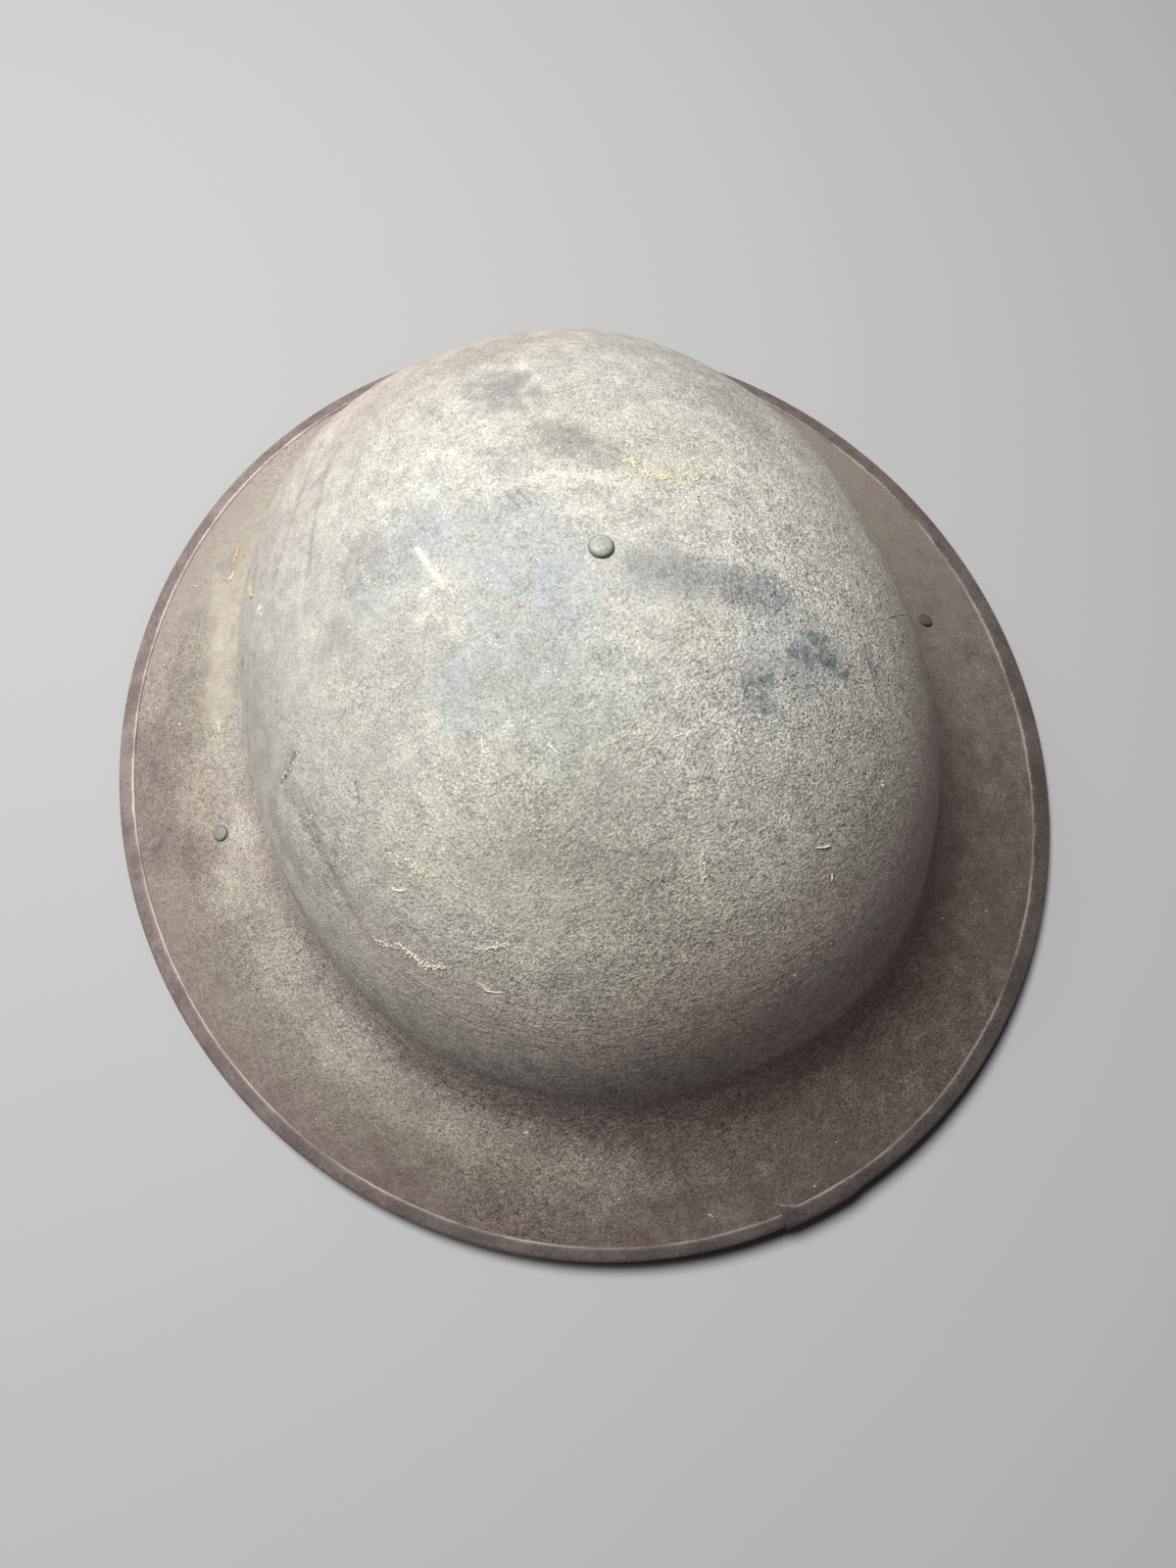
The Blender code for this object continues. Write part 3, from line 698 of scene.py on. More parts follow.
STRAWS = (
    Trail(((29.5, -80.1, 67.7), (31.5, -80.6, 66.9), (33.5, -80.3, 66)), 0, 0.55, 0.30),
    Trail(((-66.6, -55.4, 59.7), (-65.4, -56.6, 60.4), (-63.9, -57.4, 61.4)), 0, 0.45, 0.25),
    Trail(((-46.7, -80.3, 58.6), (-46.5, -81.8, 57.2), (-47.1, -83.1, 55.7)), 0, 0.45, 0.50),
    Trail(((-53.7, -81.8, 51.3), (-52.6, -83.8, 50.6), (-49.9, -85.2, 51)), 0, 0.40, 0.40),
    Trail(((-81.1, 44.2, 47.6), (-81.6, 41.5, 48.2), (-81.1, 38.8, 49.6)), 0, 1.20, 0.86),
    Trail(((-87.2, 96.8, -6.2), (-87.6, 93.4, -5.9), (-90, 90.6, -6.2)), 0, 0.85, 0.84),
    Trail(((-95.5, 86.5, -7.4), (-92.5, 84.2, -5.6), (-90.4, 86.4, -5.4)), 0, 0.65, 0.80),
    Trail(((-105.4, 90.6, -12), (-103.6, 88, -11)), 0, 0.70, 0.84),
    Trail(((-93.4, 83.2, -6), (-91.4, 84, -5.6), (-89.9, 86, -5.5)), 0, 0.70, 0.45),
    Trail(((-79.8, 32.2, 53.4), (-79.3, 30.6, 55.2)), 0, 0.45, 0.05),
    Trail(((-80.4, 30.2, 53.8), (-78.8, 32.4, 54.8)), 0, 0.40, 0.05),
    Trail(((32.1, -87.1, 60.4), (32.4, -86, 61.3)), 0, 0.45, 0.15),
    Trail(((-36.9, -36.5, 86.6), (-37.3, -38.6, 85.8), (-37.4, -40.1, 85.3), (-36.2, -40.5, 85.6)),
          0, 0.46, 0.02),
    Trail(((-23.6, -43.6, 88.3), (-22.9, -45.4, 87.8), (-21.7, -46.9, 87.6)), 0, 0.36, 0.02),
    Trail(((-22.8, -48.2, 87), (-22.6, -49.2, 86.8)), 0, 0.34, 0.04),
    Trail(((-8.4, -22.8, 95.2), (-6.4, -24.2, 95.1), (-5, -26.2, 94.8)), 0, 0.28, 0.02),
    Trail(((21.5, 11.5, 94.5), (22.6, 9.6, 94.5), (24.6, 9.8, 94.1), (25.6, 8.4, 94)), 0, 0.50, 0.45),
    Trail(((28, 9.5, 93.3), (29.6, 10.2, 92.8), (30.4, 8.2, 92.8), (32, 8.6, 92.3)), 0, 0.45, 0.42),
    Trail(((16.8, 16.8, 95), (18.4, 15.6, 95), (19.6, 16.2, 94.7)), 0, 0.50, 0.45),
)


@dataclass(frozen=True)
class SoilAndShadeBand:
    """How brown and dark the bowl is at one height: least all round, and more by swing towards its most
    soiled and shaded turn; soil and painted shade together.
    """

    height: float
    least: float
    swing: float
    most_soiled_and_shaded: float
    narrowness: float


SOIL_AND_SHADE_BANDS = (
    # Height, least, swing, most_soiled_and_shaded, narrowness. The dark line at the foot and the darker near
    # side are soil and painted shade together.
    SoilAndShadeBand(1, 0.32, 0.68, -125, 5),
    SoilAndShadeBand(5, 0.04, 0.36, -125, 4),
    SoilAndShadeBand(12, 0.00, 0.12, -75, 2),
    SoilAndShadeBand(24, 0.00, 0.26, -62, 2),
    SoilAndShadeBand(36, 0.08, 0.36, -60, 2),
    SoilAndShadeBand(46, 0.13, 0.37, -60, 2),
    SoilAndShadeBand(62, 0.06, 0.40, -62, 4),
    SoilAndShadeBand(80, 0.03, 0.04, -62, 4),
)


def nearness(turn: Array, centre: float) -> Array:
    """Return 1 at the centre turn, in degrees, and less towards 0 at the turn opposite."""
    return 0.5 + 0.5 * np.cos(turn - math.radians(centre))


@dataclass(frozen=True)
class SoilingAndShade:
    """How brown, how purple and how dark the paint is over the brim and the bowl: soil with painted shade at
    the near side and the foot, and a purple that is partly painted reddish reflected light.
    """

    brim_mean: float = 0.70
    brim_swing: float = 0.27
    brim_most_soiled_and_shaded: float = -68.0
    inner_clean: float = 0.15
    outer_dirty: float = 0.09
    bands: tuple[SoilAndShadeBand, ...] = SOIL_AND_SHADE_BANDS
    plum_turn: float = -40.0
    plum_height: float = 66.0
    plum_foot: float = 0.85
    plum_edge: float = 0.42
    olive_brim: float = 0.30
    foot_shade: float = 0.48
    foot_shade_turn: float = -132.0

    def brim(self, turn: Array, across: Array | float) -> Array:
        """Return how brown the brim is, across it from 0 at the foot to 1 at the edge: soil, with painted
        shade at the near right.

        Args:
            turn: Angles around the crown.
            across: Where across the brim.

        Returns:
            A share a point.
        """
        left = np.maximum(0, -np.cos(turn))
        share = self.brim_mean + self.brim_swing * np.cos(turn - math.radians(self.brim_most_soiled_and_shaded))
        share = share - self.inner_clean * left * np.clip(1 - 2 * np.asarray(across), 0, 1)
        return share + self.outer_dirty * left * np.clip(2 * np.asarray(across) - 1, 0, 1)

    def bowl(self, turn: Array, height: Array) -> Array:
        """Return how brown the bowl is: soil, with painted shade at the foot and the near side.

        Args:
            turn: Angles around the crown.
            height: Heights above the foot, in millimetres.

        Returns:
            A share a point, between the bands above and below it.
        """
        levels = np.array([band.height for band in self.bands])
        shares = np.stack([band.least + band.swing * nearness(turn, band.most_soiled_and_shaded) ** band.narrowness
                           for band in self.bands])
        step = np.clip(np.searchsorted(levels, height) - 1, 0, len(levels) - 2)
        t = np.clip((height - levels[step]) / (levels[step + 1] - levels[step]), 0, 1)
        each = np.arange(len(height))
        return shares[step, each] * (1 - t) + shares[step + 1, each] * t

    def brown(self, turn: Array, travel: Array, height: Array) -> Array:
        """Return how brown the whole outer face is, as soil and painted shade together.

        Args:
            turn: Angles around the crown.
            travel: 0 at the crown, 1 at the fillet, 2 at the brim and 3 at its edge.
            height: Heights above the foot, in millimetres.

        Returns:
            A share a point.
        """
        t = np.clip(travel - 1, 0, 1)
        share = self.bowl(turn, height) * (1 - t) + self.brim(turn, np.clip(travel - 2, 0, 1)) * t
        return np.clip(share, 0, 1)

    def plum(self, turn: Array, travel: Array, height: Array) -> Array:
        """Return how purple the outer face is, partly as painted reddish reflected light: round the foot of
        the near side, and along the brim's edge.

        Args:
            turn: Angles around the crown.
            travel: 0 at the crown, 1 at the fillet, 2 at the brim and 3 at its edge.
            height: Heights above the foot, in millimetres.

        Returns:
            A share a point.
        """
        low = np.clip((self.plum_height - height) / (self.plum_height * 0.7), 0, 1)
        foot = self.plum_foot * low * nearness(turn, self.plum_turn) ** 1.5 * np.clip(2.4 - travel, 0, 1)
        edge = self.plum_edge * np.clip(travel - 2.35, 0, 0.65) / 0.65 * (0.5 + 0.5 * nearness(turn, -100))
        return np.clip(foot + edge, 0, 1)

    def olive(self, travel: Array) -> Array:
        """Return how olive the outer face is: on the brim's inner half."""
        return self.olive_brim * np.clip((travel - 1.9) / 0.3, 0, 1) * np.clip((2.75 - travel) / 0.4, 0, 1)

    def shade(self, turn: Array, travel: Array) -> Array:
        """Return the painted shade in the corner at the bowl's foot, most at one turn."""
        corner = np.clip((travel - 0.97) / 0.10, 0, 1) * np.clip((2.26 - travel) / 0.18, 0, 1)
        return self.foot_shade * corner * nearness(turn, self.foot_shade_turn) ** 6


class NodeBench:
    """Adds nodes to one tree and joins their sockets."""

    def __init__(self, tree: Tree) -> None:
        """Work on this tree."""
        self.tree = tree

    def feed(self, node: bpy.types.Node, sockets: Mapping[str | int, Any]) -> None:
        """Give inputs of a node their constants, or the output sockets that feed them.

        Args:
            node: The node.
            sockets: For each input, a constant or an output socket.
        """
        for key, value in sockets.items():
            if isinstance(value, Socket):
                self.tree.links.new(value, node.inputs[key])
            else:
                node.inputs[key].default_value = value

    def add(self, kind: str, sockets: Mapping[str | int, Any] | None = None,
            **settings: Any) -> bpy.types.Node:
        """Add a node.

        Args:
            kind: The node's type name.
            sockets: For each input, a constant or the output socket that feeds it.
            **settings: The node's own options.

        Returns:
            The new node.
        """
        node = self.tree.nodes.new(kind)
        for key, value in settings.items():
            setattr(node, key, value)
        self.feed(node, sockets or {})
        return node

    def math(self, operation: str, *values: Any, clamp: bool = False) -> Socket:
        """Return the result of a Math node."""
        return self.add("ShaderNodeMath", dict(enumerate(values)), operation=operation,
                        use_clamp=clamp).outputs[0]

    def times(self, first: Any, second: Any, clamp: bool = False) -> Socket:
        """Return the product of two numbers, kept between 0 and 1 if clamped."""
        return self.math("MULTIPLY", first, second, clamp=clamp)

    def sum(self, first: Any, *others: Any) -> Any:
        """Return several numbers added up.

        Args:
            first: A number or a socket.
            *others: The same.

        Returns:
            The sum.
        """
        for other in others:
            first = self.math("ADD", first, other)
        return first

    def less(self, first: Any, second: Any) -> Socket:
        """Return the first number less the second."""
        return self.math("SUBTRACT", first, second)

    def swing(self, value: Socket, amount: Any) -> Socket:
        """Return how far a pattern is from its middle, times an amount."""
        return self.times(self.less(value, 0.5), amount)

    def limited(self, value: Socket) -> Socket:
        """Return a number kept between 0 and 1."""
        return self.math("ADD", value, 0.0, clamp=True)

    def vector(self, operation: str, *values: Any) -> Socket:
        """Return the vector result of a Vector Math node."""
        return self.add("ShaderNodeVectorMath", dict(enumerate(values)), operation=operation).outputs[0]

    def scaled(self, vector: Any, scale: Any) -> Socket:
        """Return a vector times a number."""
        return self.add("ShaderNodeVectorMath", {0: vector, "Scale": scale}, operation="SCALE").outputs[0]

    def length(self, vector: Any) -> Socket:
        """Return the length of a vector."""
        return self.add("ShaderNodeVectorMath", {0: vector}, operation="LENGTH").outputs["Value"]

    def flattened(self, vector: Socket) -> Socket:
        """Return a vector without its third part."""
        return self.vector("MULTIPLY", vector, (1.0, 1.0, 0.0))

    def parts(self, vector: Socket) -> Any:
        """Return the three numbers of a vector."""
        return self.add("ShaderNodeSeparateXYZ", {0: vector}).outputs

    def joined(self, *parts: Any) -> Socket:
        """Return a vector of three numbers."""
        return self.add("ShaderNodeCombineXYZ", dict(enumerate(parts))).outputs[0]

    def noise(self, vector: Socket, scale: Any, detail: float = 2.0, roughness: float = 0.5,
              distortion: float = 0.0) -> Socket:
        """Return the number from a Noise Texture.

        Args:
            vector: Where to read it.
            scale: How many lumps there are in a metre.
            detail: How many finer layers it has.
            roughness: How strong they are.
            distortion: How far its lumps are bent.

        Returns:
            The number, around 0.5.
        """
        return self.add("ShaderNodeTexNoise", {
            "Vector": vector, "Scale": scale, "Detail": detail, "Roughness": roughness,
            "Distortion": distortion}).outputs["Fac"]

    def stir(self, vector: Socket, scale: float) -> Socket:
        """Return a Noise Texture's vector, each part around 0.5."""
        return self.add("ShaderNodeTexNoise", {
            "Vector": vector, "Scale": scale, "Detail": 2.0}).outputs["Color"]


class PaintBench(NodeBench):
    """A bench on the tree of a new Principled material."""

    def __init__(self, name: str) -> None:
        """Make the material under this name.

        Args:
            name: The material's name.
        """
        self.material = bpy.data.materials.new(name)
        self.material.use_nodes = True
        super().__init__(self.material.node_tree)
        self.place = self.add("ShaderNodeTexCoord").outputs["Object"]

    def attribute(self, name: str, output: str = "Fac") -> Socket:
        """Return an attribute of the mesh."""
        return self.add("ShaderNodeAttribute", attribute_name=name).outputs[output]

    def channels(self, name: str) -> list[Socket]:
        """Return the three numbers of a colour attribute."""
        return list(self.add("ShaderNodeSeparateColor", {0: self.attribute(name, "Color")}).outputs)[:3]

    def ramp(self, value: Socket, low: float, high: float, start: float = 0.0, end: float = 1.0) -> Socket:
        """Return start below low, end above high, and a smooth change between."""
        limits = {"Value": value, "From Min": low, "From Max": high, "To Min": start, "To Max": end}
        return self.add("ShaderNodeMapRange", limits, interpolation_type="SMOOTHSTEP").outputs["Result"]

    def share(self, value: Socket, low: float, high: float) -> Socket:
        """Return 0 at low, 1 at high, and an even change between."""
        return self.add("ShaderNodeMapRange", {
            "Value": value, "From Min": low, "From Max": high}).outputs["Result"]

    def shaded(self, colour: Colour, tone: Socket) -> Socket:
        """Return a plain colour times a brightness.

        Args:
            colour: The plain colour.
            tone: The brightness.

        Returns:
            The shaded colour.
        """
        node = self.add("ShaderNodeRGB")
        node.outputs[0].default_value = rgba(colour)
        return self.scaled(node.outputs[0], tone)

    def blend(self, share: Any, under: Any, over: Any, how: str = "MIX") -> Socket:
        """Return two colours mixed."""
        return self.add("ShaderNodeMix", {0: share, 6: rgba(under), 7: rgba(over)}, data_type="RGBA",
                        blend_type=how).outputs[2]

    def tinted(self, share: Any, colour: Any, tint: Colour) -> Socket:
        """Return a colour that a share of a tint is laid over, as a glaze."""
        return self.blend(share, colour, tint, "MULTIPLY")

    def finish(self, colour: Socket, roughness: Any, height: Socket | None = None, depth: float = 0.0,
               **sockets: Any) -> Material:
        """Join the shader.

        Args:
            colour: What feeds its colour.
            roughness: A number, or what feeds the roughness.
            height: What feeds the bump, or None for no bump.
            depth: How far the bump reaches, in metres.
            **sockets: Further inputs of the shader.

        Returns:
            The finished material.
        """
        if height is not None:
            bump = self.add("ShaderNodeBump", {"Strength": 1.0, "Distance": depth, "Height": height})
            sockets["Normal"] = bump.outputs["Normal"]
        self.feed(self.tree.nodes["Principled BSDF"], {
            "Base Color": colour, "Roughness": roughness, **sockets})
        return self.material


class ShapeBench(NodeBench):
    """A bench on a new Geometry Nodes tree with named inputs."""

    def __init__(self, name: str, inputs: Mapping[str, str]) -> None:
        """Make the tree; its inputs are of the kinds Geometry, Object, Float, Int and Material.

        Args:
            name: The tree's name.
            inputs: The kind of each input, by its name.
        """
        super().__init__(bpy.data.node_groups.new(name, "GeometryNodeTree"))
        for label, kind in inputs.items():
            self.tree.interface.new_socket(label, in_out="INPUT", socket_type=f"NodeSocket{kind}")
        self.tree.interface.new_socket("Result", in_out="OUTPUT", socket_type="NodeSocketGeometry")
        self.given = self.add("NodeGroupInput").outputs
        self.here = self.add("GeometryNodeInputPosition").outputs[0]

    def field(self, name: str, kind: str = "FLOAT") -> Socket:
        """Return an attribute of the geometry that the tree works on."""
        return self.add("GeometryNodeInputNamedAttribute", {"Name": name}, data_type=kind).outputs[0]

    def stored(self, geometry: Socket, name: str, value: Socket, kind: str = "FLOAT") -> Socket:
        """Return geometry with a value stored on its points."""
        return self.add("GeometryNodeStoreNamedAttribute", {
            "Geometry": geometry, "Name": name, "Value": value}, data_type=kind, domain="POINT").outputs[0]

    def moved(self, geometry: Socket, **how: Socket) -> Socket:
        """Return geometry with its points at a Position, or moved by an Offset."""
        return self.add("GeometryNodeSetPosition", {"Geometry": geometry, **how}).outputs[0]

    def jolted(self, geometry: Socket, scale: float, amount: Socket) -> Socket:
        """Return geometry with its points moved to and fro by noise."""
        wobble = self.vector("SUBTRACT", self.stir(self.here, scale), (0.5, 0.5, 0.5))
        return self.moved(geometry, Offset=self.scaled(wobble, amount))

    def random(self, low: Any, high: Any) -> Socket:
        """Return a random number or vector for each point.

        Args:
            low: The least number or vector.
            high: The greatest.

        Returns:
            The random values.
        """
        if isinstance(low, tuple):
            return self.add("FunctionNodeRandomValue", {0: low, 1: high, "Seed": self.given["Seed"]},
                            data_type="FLOAT_VECTOR").outputs[0]
        return self.add("FunctionNodeRandomValue", {2: low, 3: high, "Seed": self.given["Seed"]},
                        data_type="FLOAT").outputs[1]

    def turned(self, normal: Socket, **before: Socket) -> Socket:
        """Return the rotation that sets Z along a normal, after a Rotation."""
        return self.add("FunctionNodeAlignRotationToVector", {"Vector": normal, **before},
                        axis="Z").outputs[0]

    def copies(self, points: Socket, shape: Socket, **how: Any) -> Socket:
        """Return copies of a shape on points."""
        return self.add("GeometryNodeInstanceOnPoints", {
            "Points": points, "Instance": shape, **how}).outputs[0]

    def swept(self, curve: Socket, section: Socket, **how: Socket) -> Socket:
        """Return a section drawn along a curve, with closed ends."""
        return self.add("GeometryNodeCurveToMesh", {
            "Curve": curve, "Profile Curve": section, "Fill Caps": True, **how}).outputs[0]

    def shifted(self, geometry: Socket, translation: Any) -> Socket:
        """Return geometry moved as a whole."""
        return self.add("GeometryNodeTransform", {
            "Geometry": geometry, "Translation": translation}).outputs[0]

    def together(self, shapes: Iterable[Socket]) -> Socket:
        """Return shapes joined, in their order.

        Args:
            shapes: The shapes.

        Returns:
            The joined geometry.
        """
        node = self.add("GeometryNodeJoinGeometry")
        for shape in shapes:
            self.tree.links.new(shape, node.inputs[0])
        return node.outputs[0]

    def real(self, geometry: Socket) -> Socket:
        """Return geometry without instances."""
        return self.add("GeometryNodeRealizeInstances", {"Geometry": geometry}).outputs[0]

    def finish(self, geometry: Socket) -> Tree:
        """Put the geometry out in its paint, and return the tree.

        Args:
            geometry: The finished geometry.

        Returns:
            The tree.
        """
        paint = {"Geometry": geometry, "Material": self.given["Paint"]}
        self.add("NodeGroupOutput", {"Result": self.add("GeometryNodeSetMaterial", paint).outputs[0]})
        return self.tree


def rgba(colour: Any) -> Any:
    """Return a colour with its alpha, or the socket it is."""
    return colour if isinstance(colour, Socket) else (*colour, 1.0)


@dataclass(frozen=True)
class Patterns:
    """The noises that drab paint is drawn with, and how much there is of each tone."""

    broad: Socket
    patches: Socket
    mottle: Socket
    grain: Socket
    clumps: Socket
    domes: Socket
    tones: Mapping[Tone, Socket]


@dataclass(frozen=True)
class DrabPaint:
    """Matt drab paint full of grit: browned towards the brim, with painted shade at the near side and the
    foot, dusty on top and stained, and tinted purple partly as painted reflected light.
    """

    name: str = "gritted_drab_paint"
    body: Colour = (0.348, 0.341, 0.303)
    warm: Colour = (0.320, 0.283, 0.247)
    soil: Colour = (0.077, 0.059, 0.047)
    stain: Colour = (0.170, 0.155, 0.158)
    blue: Colour = (0.246, 0.272, 0.290)
    dust: Colour = (0.470, 0.452, 0.402)
    cream: Colour = (0.640, 0.620, 0.520)
    ochre: Colour = (0.480, 0.434, 0.300)
    rust: Colour = (0.330, 0.175, 0.095)
    speck: Colour = (0.720, 0.710, 0.660)
    plum_tint: Colour = (1.0, 0.78, 0.82)
    olive_tint: Colour = (0.97, 1.0, 0.86)
    shade_tint: Colour = (0.50, 0.48, 0.49)
    chip: Colour = (0.112, 0.118, 0.120)
    warm_at: float = 0.35
    grain_scale: float = 1750.0
    clump_scale: float = 480.0
    cell_scale: float = 1350.0
    grain_depth: float = 0.00048
    smooth_contrast: float = 0.36
    grit_contrast: float = 1.45
    glitter: float = 0.35
    mottling: float = 0.85
    clouding: float = 0.40
    smooth_relief: float = 0.34
    grit_relief: float = 0.90
    ripple_relief: float = 2.20
    chip_depth: float = 0.45
    shine: float = 0.32

    def make(self) -> Material:
        """Return the material.

        Returns:
            The finished material.
        """
        bench = PaintBench(self.name)
        see = self.patterns(bench)
        tone = self.brightness(bench, see)
        colour = self.soiled_and_shaded(bench, see, tone)
        colour = self.stained(bench, see, tone, colour)
        colour = self.dotted(bench, see, tone, colour)
        dark_lines, pale_lines, cuts = self.scratched(bench, bench.swing(see.clumps, 1.6))
        colour = bench.tinted(dark_lines, colour, self.shade_tint)
        colour = bench.blend(pale_lines, colour, self.cream)
        chip = see.tones[Tone.CHIP]
        chipped = bench.sum(see.clumps, bench.swing(see.grain, 0.90), bench.times(chip, 0.235))
        chipped = bench.times(bench.ramp(chipped, 0.67, 0.74), bench.ramp(chip, 0.05, 0.45, 0.0, 0.90))
        colour = bench.blend(chipped, colour, bench.shaded(self.chip, tone))
        worn = bench.sum(see.grain, bench.times(see.tones[Tone.BLUE], -0.25))
        height = self.height(bench, see, cuts, chipped)
        return bench.finish(colour, bench.ramp(worn, 0.1, 0.7, 0.60, 0.95), height, self.grain_depth,
                            **{"Specular IOR Level": self.shine})

    def patterns(self, bench: PaintBench) -> Patterns:
        """Return the paint's noises and tones.

        Args:
            bench: The bench that adds the nodes.

        Returns:
            The noises and tones.
        """
        layers = {name: bench.channels(name) for name in dict.fromkeys(tone.value[0] for tone in Tone)}
        return Patterns(broad=bench.noise(bench.place, 26, 4, 0.55),
                        patches=bench.noise(bench.place, 70, 4, 0.6),
                        mottle=bench.noise(bench.place, 150, 5, 0.65),
                        grain=bench.noise(bench.place, self.grain_scale, 4, 0.66),
                        clumps=bench.noise(bench.place, self.clump_scale, 3, 0.6), domes=self.domes(bench),
                        tones={tone: layers[tone.value[0]][tone.value[1]] for tone in Tone})

    def brightness(self, bench: PaintBench, see: Patterns) -> Socket:
        """Return the brightness of the grit: 1 on the whole, with crisp specks where there is much of it.

        Args:
            bench: The bench that adds the nodes.
            see: The paint's noises and tones.

        Returns:
            The brightness.
        """
        sharpness = bench.sum(self.smooth_contrast, bench.times(see.tones[Tone.GRIT], self.grit_contrast))
        speckle = bench.sum(bench.swing(see.grain, 2.3), bench.swing(see.clumps, 0.75),
                            bench.swing(see.domes, 0.45))
        speckle = bench.times(speckle, bench.math("MULTIPLY_ADD", speckle, self.glitter, 1.0))
        return bench.sum(1.0, bench.times(speckle, sharpness), bench.swing(see.mottle, self.mottling),
                         bench.swing(see.broad, self.clouding))

    def soiled_and_shaded(self, bench: PaintBench, see: Patterns, tone: Socket) -> Socket:
        """Return the paint's colour with its soil and painted shade, its dust, its purple cast that is partly
        painted reflected light, and its olive and dark casts, the dark one partly painted shade.

        Args:
            bench: The bench that adds the nodes.
            see: The paint's noises and tones.
            tone: The brightness of the grit.

        Returns:
            The colour.
        """
        brown, dust = see.tones[Tone.BROWN], see.tones[Tone.DUST]
        # The brown share is soil and painted shade together.
        soil = bench.sum(brown, bench.times(brown, bench.swing(see.mottle, 0.85)),
                         bench.swing(see.broad, 0.18))
        colour = bench.blend(bench.share(soil, 0.0, self.warm_at), self.body, self.warm)
        colour = bench.blend(bench.share(soil, self.warm_at, 1.0), colour, self.soil)
        powder = bench.sum(0.35, bench.swing(see.grain, 2.2), bench.swing(see.mottle, 1.0))
        colour = bench.blend(bench.times(dust, bench.limited(powder), clamp=True), colour, self.dust)
        colour = bench.scaled(colour, tone)
        leaning = bench.times(brown, bench.swing(see.patches, 0.8))
        plum = bench.limited(bench.sum(see.tones[Tone.PLUM], leaning))
        olive = bench.limited(bench.less(see.tones[Tone.OLIVE], leaning))
        colour = bench.tinted(olive, bench.tinted(plum, colour, self.plum_tint), self.olive_tint)
        # The dark cast, mottled: smudges, and painted shade in the crease and the foot's corner.
        mottled_shade = bench.limited(bench.sum(0.75, bench.swing(see.mottle, 2.0)))
        return bench.tinted(bench.times(see.tones[Tone.SHADE], mottled_shade), colour, self.shade_tint)

    def stained(self, bench: PaintBench, see: Patterns, tone: Socket, colour: Socket) -> Socket:
        """Return a colour with the bluish wear, the stains, the yellowed dust, the cream and the rust.

        Args:
            bench: The bench that adds the nodes.
            see: The paint's noises and tones.
            tone: The brightness of the grit.
            colour: The colour under them.

        Returns:
            The stained colour.
        """
        mottle, grain, tones = see.mottle, see.grain, see.tones
        patchy = bench.limited(bench.sum(0.65, bench.swing(mottle, 1.7), bench.swing(grain, 1.6)))
        uneven = bench.limited(bench.sum(0.60, bench.swing(see.patches, 1.8), bench.swing(mottle, 1.8),
                                         bench.swing(grain, 1.6)))
        for amount, over, how in ((tones[Tone.BLUE], self.blue, uneven),
                                  (tones[Tone.STAIN], self.stain, patchy)):
            covered = bench.times(bench.times(amount, how), 0.90)
            colour = bench.blend(covered, colour, bench.shaded(over, tone))
        flecks = bench.limited(bench.sum(0.28, bench.swing(grain, 3.6), bench.swing(mottle, 1.4),
                                         bench.swing(see.clumps, 1.6)))
        for kind, over, most in ((Tone.OCHRE, self.ochre, 0.85), (Tone.CREAM, self.cream, 0.95),
                                 (Tone.RUST, self.rust, 0.9)):
            reach = bench.sum(bench.times(flecks, 1.6), bench.times(tones[kind], 0.9), -0.45)
            covered = bench.times(bench.times(tones[kind], bench.limited(reach)), most, clamp=True)
            colour = bench.blend(covered, colour, over)
        return colour

    def dotted(self, bench: PaintBench, see: Patterns, tone: Socket, colour: Socket) -> Socket:
        """Return a colour with pale specks where it is dusty, and dark pits.

        Args:
            bench: The bench that adds the nodes.
            see: The paint's noises and tones.
            tone: The brightness of the grit.
            colour: The colour under them.

        Returns:
            The dotted colour.
        """
        bright = bench.times(self.dots(bench, 330.0, 0.09, 0.60), bench.sum(0.05, see.tones[Tone.DUST]))
        colour = bench.blend(bench.times(bright, 1.3, clamp=True), colour, self.speck)
        pits = bench.times(self.dots(bench, 235.0, 0.15, 0.80), 0.30)
        return bench.blend(pits, colour, bench.shaded(self.soil, tone))

    def height(self, bench: PaintBench, see: Patterns, cuts: Socket, chipped: Socket) -> Socket:
        """Return the height of the grit, ripples, cuts and chips, as shares of the grain's depth.

        Args:
            bench: The bench that adds the nodes.
            see: The paint's noises and tones.
            cuts: The depth of the scratches.
            chipped: How far the paint is chipped.

        Returns:
            The height.
        """
        streaks = bench.noise(bench.vector("MULTIPLY", bench.place, (170.0, 170.0, 900.0)), 1.0, 4, 0.6, 0.6)
        rough = bench.sum(self.smooth_relief, bench.times(see.tones[Tone.GRIT], self.grit_relief))
        lumps = bench.sum(bench.times(see.grain, 0.85), bench.times(see.domes, 0.30),
                          bench.times(see.clumps, 0.80))
        ripples = bench.times(streaks, bench.times(see.tones[Tone.RIPPLE], self.ripple_relief))
        return bench.sum(bench.times(rough, lumps), bench.times(see.mottle, 0.50), ripples,
                         bench.times(cuts, -1.0), bench.times(chipped, -self.chip_depth))

